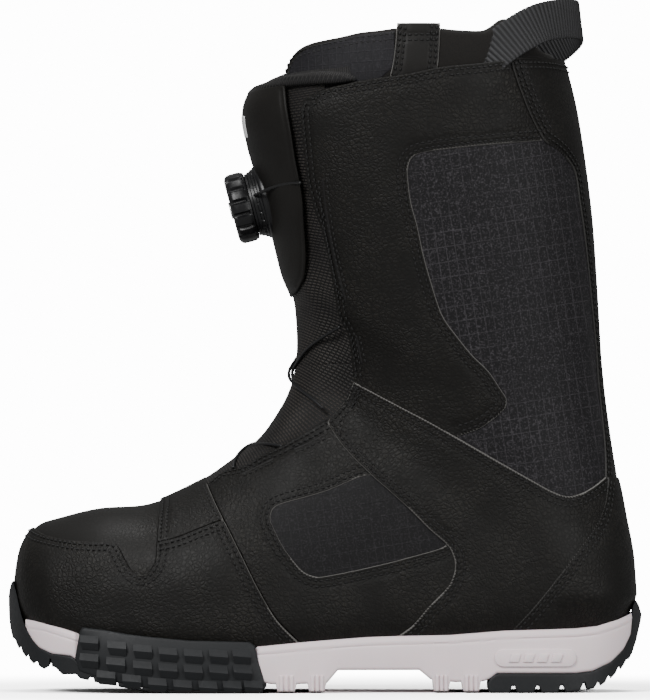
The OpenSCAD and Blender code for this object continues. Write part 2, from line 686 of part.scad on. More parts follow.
midsole();
forefoot_outsole();
heel_outsole();
lateral_grip_pad();
medial_grip_pad();
lasting_board();
shank();
footbed();
toe_cap();
vamp();
toe_rand();
toe_puff();
lateral_quarter();
medial_quarter();
lateral_midfoot_inset();
medial_midfoot_inset();
lateral_ankle_panel();
medial_ankle_panel();
heel_panel();
heel_counter();
tongue_base();
lower_guides();
lower_lace();
ankle_lace();
liner_toe_box();
liner_heel();
lateral_cuff();
medial_cuff();
lateral_calf_inset();
medial_calf_inset();
back_stay();
cuff_guides();
liner_cuff();
liner_strap();
tongue_pad();
tongue_mesh();
tongue_shield();
tongue_binding();
liner_tongue();
dial_mount();
dial_housing();
upper_lace();
dial_spool();
ratchet_wheel();
dial_knob();
dial_cap();
dial_screw();
pull_loop();
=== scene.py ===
"""Looks of the left snowboard boot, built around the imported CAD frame. Units are metres in the frame;
lengths written with mm() are millimetres. The toe points to -X and the outer side to -Y."""

import bmesh
import bpy
import math
import numpy as np
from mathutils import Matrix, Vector
from mathutils.geometry import delaunay_2d_cdt


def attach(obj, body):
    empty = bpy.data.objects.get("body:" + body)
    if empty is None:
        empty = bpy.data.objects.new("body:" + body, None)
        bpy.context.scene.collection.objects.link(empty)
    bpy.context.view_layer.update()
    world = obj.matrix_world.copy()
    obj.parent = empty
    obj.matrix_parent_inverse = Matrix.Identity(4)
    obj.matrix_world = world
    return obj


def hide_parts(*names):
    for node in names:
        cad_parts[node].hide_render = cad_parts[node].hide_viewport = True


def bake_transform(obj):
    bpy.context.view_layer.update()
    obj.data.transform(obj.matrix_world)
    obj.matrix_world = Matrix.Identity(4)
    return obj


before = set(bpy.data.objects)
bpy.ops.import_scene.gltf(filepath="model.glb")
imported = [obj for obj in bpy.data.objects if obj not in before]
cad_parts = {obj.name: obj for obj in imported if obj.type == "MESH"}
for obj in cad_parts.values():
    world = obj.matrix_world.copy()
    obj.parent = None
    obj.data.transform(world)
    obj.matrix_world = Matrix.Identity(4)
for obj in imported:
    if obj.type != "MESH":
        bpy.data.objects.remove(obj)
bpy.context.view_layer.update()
MM = 0.001


def mm(value):
    return value * MM


# ---------------------------------------------------------------- camera, light, floor

VIEW_CENTRE = (0.0, 0.0, mm(163.7))
VIEW_HEIGHT = mm(336)
VIEW_FAR = 9.0
VIEW_LIFT = 0.05      # how far the camera is above the middle of the view
CLIP_END = 80


def aim(obj, target):
    direction = Vector(target) - obj.location
    obj.rotation_euler = direction.to_track_quat("-Z", "Y").to_euler()


def add_camera():
    data = bpy.data.cameras.new("camera")
    data.sensor_fit = "VERTICAL"
    data.sensor_height = 24
    data.lens = data.sensor_height * VIEW_FAR / VIEW_HEIGHT
    data.clip_end = CLIP_END
    camera = bpy.data.objects.new("camera", data)
    camera.location = (0, -VIEW_FAR, VIEW_CENTRE[2] + VIEW_LIFT)
    bpy.context.collection.objects.link(camera)
    aim(camera, VIEW_CENTRE)
    bpy.context.scene.camera = camera


def add_light(name, place, target, power, size):
    data = bpy.data.lights.new(name, "AREA")
    data.energy = power
    data.shape = "RECTANGLE"
    data.size, data.size_y = size
    light = bpy.data.objects.new(name, data)
    light.location = place
    bpy.context.collection.objects.link(light)
    aim(light, target)


BACK_WHITE = 14.0     # what the camera sees behind the boot
ROOM_LIGHT = 0.24     # what lights it
FLOOR_REACH = 30.0
FLOOR_TONE = (0.3, 3.6)       # for other rays, and for the camera
FLOOR_FADE = (0.17, 0.42)     # metres from the middle over which the floor melts away


def add_stage():
    """A white floor that melts into a white background. Both are bright for the camera's own rays only."""
    count = 64
    turns = [2 * math.pi * k / count for k in range(count)]
    ring = [(FLOOR_REACH * math.cos(turn), FLOOR_REACH * math.sin(turn), 0) for turn in turns]
    mesh = bpy.data.meshes.new("floor")
    mesh.from_pydata(ring, [], [tuple(range(count))])
    floor = bpy.data.objects.new("floor", mesh)
    bpy.context.collection.objects.link(floor)
    mat = bpy.data.materials.new("floor")
    mat.use_nodes = True
    tree = mat.node_tree
    tree.nodes.clear()
    seen = tree.nodes.new("ShaderNodeLightPath").outputs["Is Camera Ray"]
    gain = tree.nodes.new("ShaderNodeMapRange")
    gain.inputs["To Min"].default_value, gain.inputs["To Max"].default_value = FLOOR_TONE
    tree.links.new(seen, gain.inputs["Value"])
    matt = tree.nodes.new("ShaderNodeBsdfDiffuse")
    tree.links.new(gain.outputs[0], matt.inputs["Color"])
    glow = tree.nodes.new("ShaderNodeEmission")
    glow.inputs["Strength"].default_value = BACK_WHITE
    spread = tree.nodes.new("ShaderNodeVectorMath")
    spread.operation = "LENGTH"
    tree.links.new(tree.nodes.new("ShaderNodeNewGeometry").outputs["Position"], spread.inputs[0])
    far = tree.nodes.new("ShaderNodeMapRange")
    far.interpolation_type = "SMOOTHSTEP"
    far.inputs["From Min"].default_value, far.inputs["From Max"].default_value = FLOOR_FADE
    tree.links.new(spread.outputs["Value"], far.inputs["Value"])
    share = tree.nodes.new("ShaderNodeMath")
    share.operation = "MULTIPLY"
    tree.links.new(far.outputs[0], share.inputs[0])
    tree.links.new(seen, share.inputs[1])
    blend = tree.nodes.new("ShaderNodeMixShader")
    tree.links.new(share.outputs[0], blend.inputs[0])
    tree.links.new(matt.outputs[0], blend.inputs[1])
    tree.links.new(glow.outputs[0], blend.inputs[2])
    tree.links.new(blend.outputs[0], tree.nodes.new("ShaderNodeOutputMaterial").inputs["Surface"])
    floor.data.materials.append(mat)
    world = bpy.data.worlds.new("studio")
    world.use_nodes = True
    tree = world.node_tree
    light = tree.nodes.new("ShaderNodeMapRange")
    light.inputs["To Min"].default_value, light.inputs["To Max"].default_value = ROOM_LIGHT, BACK_WHITE
    tree.links.new(tree.nodes.new("ShaderNodeLightPath").outputs["Is Camera Ray"], light.inputs["Value"])
    tree.nodes["Background"].inputs["Color"].default_value = (1, 1, 1, 1)
    tree.links.new(light.outputs[0], tree.nodes["Background"].inputs["Strength"])
    bpy.context.scene.world = world


# ---------------------------------------------------------------- materials


class Shade:
    """A small helper that builds a node material around one Principled shader."""

    def __init__(self, name):
        self.mat = bpy.data.materials.new(name)
        self.mat.use_nodes = True
        self.tree = self.mat.node_tree
        self.bsdf = self.tree.nodes["Principled BSDF"]

    def node(self, kind, values=None, **settings):
        made = self.tree.nodes.new(kind)
        for key, value in settings.items():
            setattr(made, key, value)
        for key, value in (values or {}).items():
            if isinstance(value, bpy.types.NodeSocket):
                self.tree.links.new(value, made.inputs[key])
            else:
                made.inputs[key].default_value = value
        return made

    def place(self, scale=(1, 1, 1), turn=0.0, uv=False):
        coord = self.node("ShaderNodeTexCoord").outputs["UV" if uv else "Object"]
        return self.node("ShaderNodeMapping", {"Vector": coord, "Scale": scale, "Rotation": (0, 0, turn)}).outputs[0]

    def noise(self, scale, detail=3.0, vector=None):
        values = {"Scale": scale, "Detail": detail, "Vector": self.place() if vector is None else vector}
        return self.node("ShaderNodeTexNoise", values).outputs["Fac"]

    def cells(self, scale, vector):
        values = {"Vector": vector, "Scale": scale, "Randomness": 1.0}
        return self.node("ShaderNodeTexVoronoi", values, feature="DISTANCE_TO_EDGE").outputs["Distance"]

    def math(self, op, a, b=0.0, c=0.0, clamp=False):
        return self.node("ShaderNodeMath", {0: a, 1: b, 2: c}, operation=op, use_clamp=clamp).outputs[0]

    def ramp(self, value, low, high, out_low=0.0, out_high=1.0):
        return self.node(
            "ShaderNodeMapRange",
            {"Value": value, "From Min": low, "From Max": high, "To Min": out_low, "To Max": out_high},
        ).outputs[0]

    def mix(self, fac, a, b):
        made = self.node("ShaderNodeMix", data_type="RGBA")
        for key, value in (("Factor", fac), ("A", a), ("B", b)):
            sockets = [s for s in made.inputs if s.name == key and s.enabled]
            if isinstance(value, bpy.types.NodeSocket):
                self.tree.links.new(value, sockets[0])
            else:
                sockets[0].default_value = (*value, 1) if isinstance(value, tuple) else value
        return [s for s in made.outputs if s.enabled][0]

    def bump(self, height, distance, strength=1.0, normal=None):
        values = {"Height": height, "Distance": distance, "Strength": strength}
        if normal is not None:
            values["Normal"] = normal
        return self.node("ShaderNodeBump", values).outputs[0]

    def done(self, color=None, rough=None, normal=None, **constants):
        for key, value in (("Base Color", color), ("Roughness", rough), ("Normal", normal)):
            if value is None:
                continue
            if isinstance(value, bpy.types.NodeSocket):
                self.tree.links.new(value, self.bsdf.inputs[key])
            else:
                self.bsdf.inputs[key].default_value = (*value, 1) if isinstance(value, tuple) else value
        for key, value in constants.items():
            self.bsdf.inputs[key.replace("_", " ")].default_value = value
        return self.mat


def plain(name, color, rough):
    shade = Shade(name)
    fine = shade.noise(900, 2)
    tone = shade.mix(shade.ramp(fine, 0.3, 0.7, 0.0, 1.0), tuple(c * 0.97 for c in color), color)
    return shade.done(tone, rough)


PEBBLE = 470     # cells to the metre


def leather(name, color, glow, rough, calm=False):
    """Pebbled coated leather: rounded cells with fine creases; the crowns are smoother and carry a painted highlight
    that makes them lighter than the creases. Calm leather turns smooth towards the top of the toe."""
    shade = Shade(name)
    at = shade.place()
    warp = shade.noise(60, 2)
    pebble = shade.ramp(shade.cells(PEBBLE, at), 0.0, 0.25)
    crease = shade.ramp(shade.cells(PEBBLE * 2.1, at), 0.0, 0.3)
    height = shade.math("ADD", shade.math("MULTIPLY", pebble, 0.6), shade.math("MULTIPLY", crease, 0.3))
    height = shade.math("ADD", height, shade.math("MULTIPLY", shade.noise(2600, 2), 0.25))
    patch = shade.ramp(shade.noise(38, 3), 0.35, 0.65, 0.35, 1.0)
    if calm:
        place = shade.node("ShaderNodeSeparateXYZ", {0: at})
        slope = shade.math("SUBTRACT", place.outputs[0], shade.math("MULTIPLY", place.outputs[2], 1.2))
        patch = shade.math("MULTIPLY", patch, shade.ramp(slope, mm(-205), mm(-170)))
    height = shade.math("MULTIPLY", height, patch)
    crown = shade.math("MULTIPLY", pebble, shade.ramp(warp, 0.35, 0.7, 0.35, 1.0))
    # painted highlight: the pebbles' crowns are mixed towards the lighter glow colour, so the creases between them
    # stay darker
    tone = shade.mix(shade.math("MULTIPLY", crown, patch), color, glow)
    gloss = shade.ramp(crown, 0.0, 1.0, rough + 0.1, rough - 0.03)
    normal = shade.bump(height, mm(0.36), 0.85)
    normal = shade.bump(shade.noise(35, 2), mm(0.8), 0.35, normal)
    return shade.done(tone, gloss, normal, Specular_IOR_Level=0.2)


def smooth_skin(name, color, glow, rough):
    """Coated fabric with a barely visible grain."""
    shade = Shade(name)
    fine = shade.noise(1500, 3)
    broad = shade.noise(28, 3)
    tone = shade.mix(shade.ramp(broad, 0.35, 0.7), color, glow)
    normal = shade.bump(fine, mm(0.08), 0.6)
    normal = shade.bump(broad, mm(0.6), 0.3, normal)
    return shade.done(tone, shade.ramp(fine, 0.3, 0.7, rough - 0.04, rough + 0.08), normal, Specular_IOR_Level=0.2)


def ripstop(name, color, line_color, across=4.3, up=7.2, tilt=9.0):
    """Woven cloth with a raised grid; the UV map is in metres along the surface."""
    shade = Shade(name)
    at = shade.place((1, 1, 1), math.radians(-tilt), uv=True)
    parts = shade.node("ShaderNodeSeparateXYZ", {0: at})
    lines = []
    for axis, step in ((0, across), (1, up)):
        run = shade.math("MULTIPLY", parts.outputs[axis], 1 / mm(step))
        dist = shade.math("PINGPONG", run, 0.5)
        lines.append(shade.ramp(dist, 0.12 / step, 0.32 / step, 1.0, 0.0))
    grid = shade.math("MAXIMUM", lines[0], lines[1], clamp=True)
    threads = []
    for axis in (0, 1):
        run = shade.math("MULTIPLY", parts.outputs[axis], 1 / mm(0.55))
        threads.append(shade.math("PINGPONG", run, 0.5))
    weave = shade.math("MULTIPLY", shade.math("ADD", threads[0], threads[1]), 0.5)
    fuzz = shade.noise(1100, 4)
    fade = shade.ramp(shade.noise(40, 2), 0.35, 0.65, 0.1, 0.5)
    tone = shade.mix(shade.math("MULTIPLY", grid, fade), color, line_color)
    tone = shade.mix(shade.ramp(fuzz, 0.5, 0.75, 0.0, 1.0), tone, line_color)
    height = shade.math("ADD", shade.math("MULTIPLY", grid, 0.55), shade.math("MULTIPLY", weave, 0.45))
    normal = shade.bump(height, mm(0.22), 0.7)
    normal = shade.bump(shade.noise(45, 2), mm(0.7), 0.4, normal)
    return shade.done(tone, 0.62, normal, Sheen_Weight=0.02, Sheen_Roughness=0.5, Specular_IOR_Level=0.22)


def rib_mesh(name, color, glow, rib=1.35, hole=2.6, tilt=-8.0):
    """Spacer mesh with fine ribs broken into ovals; the UV map is in metres along the surface."""
    shade = Shade(name)
    at = shade.place((1, 1, 1), math.radians(-tilt), uv=True)
    parts = shade.node("ShaderNodeSeparateXYZ", {0: at})
    row = shade.math("MULTIPLY", parts.outputs[1], 1 / mm(rib))
    across = shade.math("PINGPONG", row, 0.5)
    odd = shade.math("MULTIPLY", shade.math("MODULO", shade.math("FLOOR", row), 2.0), 0.5)
    along = shade.math("ADD", shade.math("MULTIPLY", parts.outputs[0], 1 / mm(hole)), odd)
    cell = shade.math("PINGPONG", along, 0.5)
    ridge = shade.ramp(across, 0.12, 0.4)
    gap = shade.ramp(cell, 0.06, 0.2)
    height = shade.math("MULTIPLY", ridge, gap)
    patch = shade.noise(40, 2)
    glint = shade.math("MULTIPLY", height, shade.ramp(patch, 0.3, 0.7, 0.25, 1.0))
    tone = shade.mix(glint, color, glow)
    normal = shade.bump(height, mm(0.3), 0.9)
    return shade.done(tone, 0.6, normal, Sheen_Weight=0.02, Sheen_Roughness=0.5, Specular_IOR_Level=0.25)


def webbing(name, color, glow, rib=2.3):
    """Grosgrain webbing: ribs across the strap with fine threads; the UV map runs along the strap."""
    shade = Shade(name)
    at = shade.place(uv=True)
    parts = shade.node("ShaderNodeSeparateXYZ", {0: at})
    row = shade.math("PINGPONG", shade.math("MULTIPLY", parts.outputs[0], 1 / mm(rib)), 0.5)
    thread = shade.math("PINGPONG", shade.math("MULTIPLY", parts.outputs[1], 1 / mm(0.7)), 0.5)
    ridge = shade.ramp(row, 0.05, 0.4)
    # painted highlight: the ribs' tops are mixed towards the lighter glow colour, and the grooves between them stay
    # dark
    tone = shade.mix(shade.math("MULTIPLY", ridge, shade.ramp(thread, 0.0, 0.5, 0.5, 1.0)), color, glow)
    height = shade.math("ADD", ridge, shade.math("MULTIPLY", thread, 0.3))
    normal = shade.bump(height, mm(0.35), 0.8)
    return shade.done(tone, 0.6, normal, Sheen_Weight=0.02, Sheen_Roughness=0.5, Specular_IOR_Level=0.3)


def neoprene(name, color, glow):
    shade = Shade(name)
    fine = shade.noise(1800, 3)
    broad = shade.noise(30, 3)
    tone = shade.mix(shade.ramp(fine, 0.3, 0.7), color, glow)
    normal = shade.bump(fine, mm(0.12), 0.7)
    normal = shade.bump(broad, mm(0.9), 0.4, normal)
    return shade.done(tone, 0.75, normal, Sheen_Weight=0.03, Sheen_Roughness=0.6, Specular_IOR_Level=0.15)


def moulded(name, color, rough, grain=0.05, scale=900.0):
    """Moulded rubber or plastic: fine spark texture, faint scuffs."""
    shade = Shade(name)
    fine = shade.noise(scale, 3)
    broad = shade.noise(50, 4)
    light = tuple(min(1.0, c * 1.18) for c in color)
    tone = shade.mix(shade.ramp(broad, 0.35, 0.75), color, light)
    normal = shade.bump(fine, mm(grain), 0.7)
    return shade.done(tone, shade.ramp(fine, 0.3, 0.7, rough - 0.05, rough + 0.07), normal, Specular_IOR_Level=0.35)


def foam(name, color, shadow):
    """Moulded EVA skin: tiny cells and soft tonal drift."""
    shade = Shade(name)
    cells = shade.noise(1500, 4)
    broad = shade.noise(22, 3)
    tone = shade.mix(shade.ramp(broad, 0.3, 0.8), color, shadow)
    normal = shade.bump(cells, mm(0.06), 0.8)
    return shade.done(
        tone, shade.ramp(cells, 0.3, 0.7, 0.5, 0.62), normal, Subsurface_Weight=0.08, Subsurface_Scale=mm(2)
    )


def metal(name, color, rough):
    shade = Shade(name)
    streak = shade.noise(220, 3, vector=shade.place((1, 12, 1)))
    tone = shade.mix(streak, tuple(c * 0.85 for c in color), color)
    return shade.done(tone, shade.ramp(streak, 0.2, 0.8, rough - 0.06, rough + 0.08), Metallic=1.0)


# ---------------------------------------------------------------- the upper's surface

# Sections of the upper in millimetres. They are the CAD model's, but with a closed nose, the back line of the
# shaft further in and the vamp's top lower, as in the photo. In order:
# front x, front z, back x, back z, half width, widest place, front power, back power, side shift.
SECTIONS = [
    [-147.8, 52, -147.8, 49.5, 1.5, 0.5, 2, 2, 7],
    [-144.5, 69, -144.5, 35, 23, 0.52, 2, 2.6, 6.5],
    [-138, 79, -138, 28, 35, 0.58, 2, 3.2, 6],
    [-127, 83, -127, 23, 43, 0.6, 2.1, 4, 5],
    [-108, 87.5, -108, 20, 49, 0.62, 2.2, 5, 3.5],
    [-84, 89.7, -84, 17.5, 52, 0.62, 2.2, 5, 2],
    [-60, 100, -57, 15, 53, 0.62, 2.1, 5, 0.5],
    [-41, 113, -32, 14, 52, 0.62, 2, 5, 0],
    [-30, 122, -2, 16.5, 49, 0.6, 2, 5, 0],
    [-21, 135, 36, 19, 46, 0.58, 2, 5, 0],
    [-17, 144.5, 88, 21, 44.5, 0.55, 2, 5, 0],
    [-15.2, 152.5, 126, 25, 43.6, 0.53, 2, 4.2, 0],
    [-14, 161, 144.9, 30, 43, 0.52, 2, 3.6, 0],
    [-14, 173, 145.9, 60, 44, 0.5, 2, 2.5, 0],
    [-15.5, 188, 141.4, 87, 46, 0.5, 2.1, 2.3, 0],
    [-20, 200, 135.7, 120, 49, 0.5, 2.2, 2.2, 0],
    [-24, 216, 131.5, 154, 52, 0.5, 2.2, 2.2, 0],
    [-30, 240, 129.1, 192, 55, 0.5, 2.3, 2.2, 0],
    [-36.5, 262, 126.2, 231, 57.5, 0.5, 2.3, 2.3, 0],
    [-38.5, 280, 120.2, 274, 59, 0.5, 2.3, 2.3, 0],
    [-30, 300, 114, 302, 59.5, 0.5, 2.3, 2.3, 0],
    [-26, 322, 108, 334, 56, 0.5, 2.3, 2.3, 0],
]
ROWS = 12        # dense rows from one section to the next
AROUND = 240     # dense points round a section
OUTER, INNER = -1, 1


def unit(v):
    return v / np.maximum(np.linalg.norm(v, axis=-1, keepdims=True), 1e-9)


def run_along(points):
    """Length along a polyline at each of its points."""
    return np.concatenate([[0], np.cumsum(np.linalg.norm(np.diff(points, axis=0), axis=1))])


def catmull(points, steps):
    """Points on a smooth curve through the given ones, with steps from one to the next."""
    pts = np.asarray(points, float)
    last = len(pts) - 1
    out = []
    for i in range(last):
        a, b, c, d = pts[max(i - 1, 0)], pts[i], pts[i + 1], pts[min(i + 2, last)]
        for k in range(steps):
            t = k / steps
            out.append(b + t * ((c - a) / 2 + t * ((2 * a - 5 * b + 4 * c - d) / 2 + t * (3 * b - a - 3 * c + d) / 2)))
    out.append(pts[last])
    return np.array(out)


def section_points(s):
    """Points round one section, evenly spaced from the front (0) by the outer side, the back and the inner side."""
    angle = np.pi * np.linspace(0, 1, 900)
    c, w = np.cos(angle), np.sin(angle)
    power = np.where(c > 0, 2 / s[6], 2 / s[7])
    t = np.where(c > 0, s[5] - s[5] * np.abs(c) ** power, s[5] + (1 - s[5]) * np.abs(c) ** power)
    y = -s[4] * np.abs(w) ** power
    line = np.array([s[2] - s[0], s[3] - s[1]])
    half = np.stack([s[0] + line[0] * t, y, s[1] + line[1] * t], 1)
    run = run_along(half)
    even = np.linspace(0, run[-1], AROUND // 2 + 1)
    half = np.stack([np.interp(even, run, half[:, k]) for k in range(3)], 1)
    other = half[1:-1][::-1] * np.array([1, -1, 1])
    ring = np.concatenate([half, other])
    ring[:, 1] += s[8]
    return ring


class Surface:
    """The upper's outer surface. A place on it is (u, s): u counts sections from the nose, and s runs from -1
    (back, outer side) through 0 (front) to 1 (back, inner side)."""

    def __init__(self, sections):
        self.sections = catmull(sections, ROWS)
        self.grid = np.array([section_points(s) for s in self.sections])
        g = self.grid
        du = np.gradient(g, axis=0)
        ds = np.roll(g, -1, axis=1) - np.roll(g, 1, axis=1)
        self.normals = unit(np.cross(ds, du))

    def _look(self, table, u, s):
        r = np.clip(np.asarray(u, float) * ROWS, 0, len(table) - 1.001)
        c = (-np.asarray(s, float)) * AROUND / 2
        r0, c0 = np.floor(r).astype(int), np.floor(c).astype(int)
        fr, fc = (r - r0)[:, None], (c - c0)[:, None]
        c1 = (c0 + 1) % AROUND
        c0 = c0 % AROUND
        return (
            table[r0, c0] * (1 - fr) * (1 - fc)
            + table[r0, c1] * (1 - fr) * fc
            + table[r0 + 1, c0] * fr * (1 - fc)
            + table[r0 + 1, c1] * fr * fc
        )

    def at(self, us, height=0.0):
        """3-D points in millimetres for (u, s) pairs, a height above the surface."""
        us = np.asarray(us, float)
        p = self._look(self.grid, us[:, 0], us[:, 1])
        return p + self.normal(us) * np.reshape(height, (-1, 1) if np.ndim(height) else (1, 1))

    def normal(self, us):
        us = np.asarray(us, float)
        return unit(self._look(self.normals, us[:, 0], us[:, 1]))

    def find(self, xz, side):
        """(u, s) of points given in the side view, on one side."""
        front, back = self.sections[:, 0:2], self.sections[:, 2:4]
        out = []
        for x, z in xz:
            line = back - front
            rel = np.array([x, z]) - front
            cross = line[:, 0] * rel[:, 1] - line[:, 1] * rel[:, 0]
            t = (rel * line).sum(1) / np.maximum((line**2).sum(1), 1e-9)
            turn = np.nonzero((cross[:-1] <= 0) != (cross[1:] <= 0))[0]
            if len(turn):
                i = turn[np.argmin(np.abs(t[turn] - 0.5))]
                f = cross[i] / (cross[i] - cross[i + 1])
            else:
                i = int(np.argmin(np.abs(cross) / np.linalg.norm(line, axis=1)))
                i, f = min(i, len(cross) - 2), 0.0
            u = (i + f) / ROWS
            half = self.grid[i, : AROUND // 2 + 1] * (1 - f) + self.grid[i + 1, : AROUND // 2 + 1] * f
            a, b = half[0], half[-1]
            axis = np.array([b[0] - a[0], b[2] - a[2]])
            along = ((half[:, 0] - a[0]) * axis[0] + (half[:, 2] - a[2]) * axis[1]) / (axis @ axis)
            want = ((x - a[0]) * axis[0] + (z - a[2]) * axis[1]) / (axis @ axis)
            k = np.interp(np.clip(want, 0, 1), along, np.arange(len(along)))
            s = k / (AROUND / 2)
            out.append((u, -s if side == OUTER else s))
        return np.array(out)


UPPER = Surface(SECTIONS)


def distances(points, line):
    """How far each 3-D point is from a polyline, and how far along the polyline the nearest place is."""
    a, b = line[:-1], line[1:]
    ab = b - a
    length = np.maximum((ab**2).sum(1), 1e-12)
    run = np.concatenate([[0], np.cumsum(np.sqrt(length))])
    best = np.full(len(points), 1e9)
    where = np.zeros(len(points))
    for start in range(0, len(points), 4000):
        p = points[start : start + 4000]
        t = np.clip(((p[:, None] - a[None]) * ab[None]).sum(2) / length, 0, 1)
        d = np.linalg.norm(p[:, None] - (a[None] + t[..., None] * ab[None]), axis=2)
        k = d.argmin(1)
        best[start : start + 4000] = d[np.arange(len(p)), k]
        where[start : start + 4000] = run[k] + t[np.arange(len(p)), k] * np.sqrt(length[k])
    return best, where


def even_line(line, step):
    """A polyline in (u, s) resampled so that its 3-D places are step apart."""
    line = np.asarray(line, float)
    fine = []
    for a, b in zip(line[:-1], line[1:]):
        gap = np.linalg.norm(UPPER.at([a])[0] - UPPER.at([b])[0])
        n = max(2, int(gap / 0.8) + 1)
        fine.extend(a + (b - a) * k / n for k in range(n))
    fine.append(line[-1])
    fine = np.array(fine)
    p = UPPER.at(fine)
    run = run_along(p)
    count = max(2, int(round(run[-1] / step)) + 1)
    even = np.linspace(0, run[-1], count)
    return np.stack([np.interp(even, run, fine[:, k]) for k in range(2)], 1)


def inside(points, polygon):
    """Which 2-D points lie inside a closed polygon."""
    x, y = points[:, 0], points[:, 1]
    result = np.zeros(len(points), bool)
    for (x0, y0), (x1, y1) in zip(polygon, np.roll(polygon, -1, axis=0)):
        if y0 == y1:
            continue
        cut = (y0 > y) != (y1 > y)
        result ^= cut & (x < (x1 - x0) * (y - y0) / (y1 - y0) + x0)
    return result


def inside_holed(points, polygon, holes):
    keep = inside(points, polygon)
    for hole in holes:
        keep &= ~inside(points, hole)
    return keep


def nearest(points, lines):
    """How far each 3-D point is from the nearest of some polylines."""
    return np.min([distances(points, line)[0] for line in lines], axis=0)


def jacobian(us):
    """How a 3-D place moves with u and with s."""
    e = np.array([0.02, 0.0])
    f = np.array([0.0, 0.004])
    du = (UPPER.at(us + e) - UPPER.at(us - e)) / 0.04
    ds = (UPPER.at(us + f) - UPPER.at(us - f)) / 0.008
    return du, ds


def step_in(us, closed, dist):
    """The places a distance inside a line's left side, measured along the surface."""
    p = UPPER.at(us)
    along = np.roll(p, -1, axis=0) - np.roll(p, 1, axis=0) if closed else np.gradient(p, axis=0)
    inward = np.cross(UPPER.normal(us), unit(along))
    du, ds = jacobian(us)
    aa, bb, ab = (du**2).sum(1), (ds**2).sum(1), (du * ds).sum(1)
    ra, rb = (du * inward).sum(1), (ds * inward).sum(1)
    det = np.maximum(aa * bb - ab * ab, 1e-9)
    move = np.stack([(bb * ra - ab * rb) / det, (aa * rb - ab * ra) / det], 1)
    return us + move * dist


# ---------------------------------------------------------------- sewn panels


def build(name, verts, faces, materials, face_slots=None, uv=None):
    """A mesh object from points in millimetres."""
    mesh = bpy.data.meshes.new(name)
    mesh.from_pydata((np.asarray(verts) * MM).tolist(), [], [tuple(int(i) for i in f) for f in faces])
    for material in materials if isinstance(materials, (list, tuple)) else [materials]:
        mesh.materials.append(material)
    if face_slots is not None:
        mesh.polygons.foreach_set("material_index", np.asarray(face_slots, np.int32))
    if uv is not None:
        layer = mesh.uv_layers.new(name="UVMap")
        loops = np.zeros(len(mesh.loops), np.int32)
        mesh.loops.foreach_get("vertex_index", loops)
        layer.data.foreach_set("uv", (np.asarray(uv)[loops] * MM).astype(np.float32).ravel())
    mesh.polygons.foreach_set("use_smooth", [True] * len(mesh.polygons))
    mesh.update()
    obj = bpy.data.objects.new(name, mesh)
    bpy.context.collection.objects.link(obj)
    return obj


def apply_modifiers(obj):
    graph = bpy.context.evaluated_depsgraph_get()
    mesh = bpy.data.meshes.new_from_object(obj.evaluated_get(graph))
    obj.modifiers.clear()
    obj.data = mesh


def solidify(obj, thick, clamp):
    modifier = obj.modifiers.new("thick", "SOLIDIFY")
    modifier.thickness = mm(thick)
    modifier.offset = -1
    modifier.use_even_offset = True
    modifier.thickness_clamp = clamp
    apply_modifiers(obj)


FLAT = np.array([14.0, 150.0])   # rough millimetres for one unit of u and s
INSETS = (0.4, 0.85, 1.5, 2.3, 3.2, 4.2, 5.2, 6.4)
MESH_STEP = 2.4
EDGE_STEP = 1.5
WALL_R = 0.8
STITCH_DIP = 0.42     # how far a row of stitches presses a panel in


def side_uv(us, points):
    return points[:, [0, 2]]


def front_uv(us, points):
    """Length round the section from the front, and length along the front."""
    k = np.clip(us[:, 0] * ROWS, 0, len(UPPER.grid) - 1)
    front = UPPER.grid[:, 0]
    run = run_along(front)
    ring = np.linalg.norm(np.diff(UPPER.grid, axis=1), axis=2).sum(1)
    rows = np.arange(len(run))
    return np.stack([us[:, 1] * np.interp(k, rows, ring) / 2, np.interp(k, rows, run)], 1)


def lattice(polygon, holes, step):
    """Evenly thinned places inside a polygon in (u, s)."""
    low, high = polygon.min(0), polygon.max(0)
    u = np.arange(low[0], high[0], 0.035)
    s = np.arange(low[1], high[1], 0.0085)
    grid = np.stack(np.meshgrid(u, s, indexing="ij"), 2).reshape(-1, 2)
    grid = grid[inside_holed(grid, polygon, holes)]
    if not len(grid):
        return grid
    cell = np.floor(UPPER.at(grid) / step).astype(np.int64)
    _, first = np.unique(cell @ np.array([1, 4001, 16008001]), return_index=True)
    return grid[first]


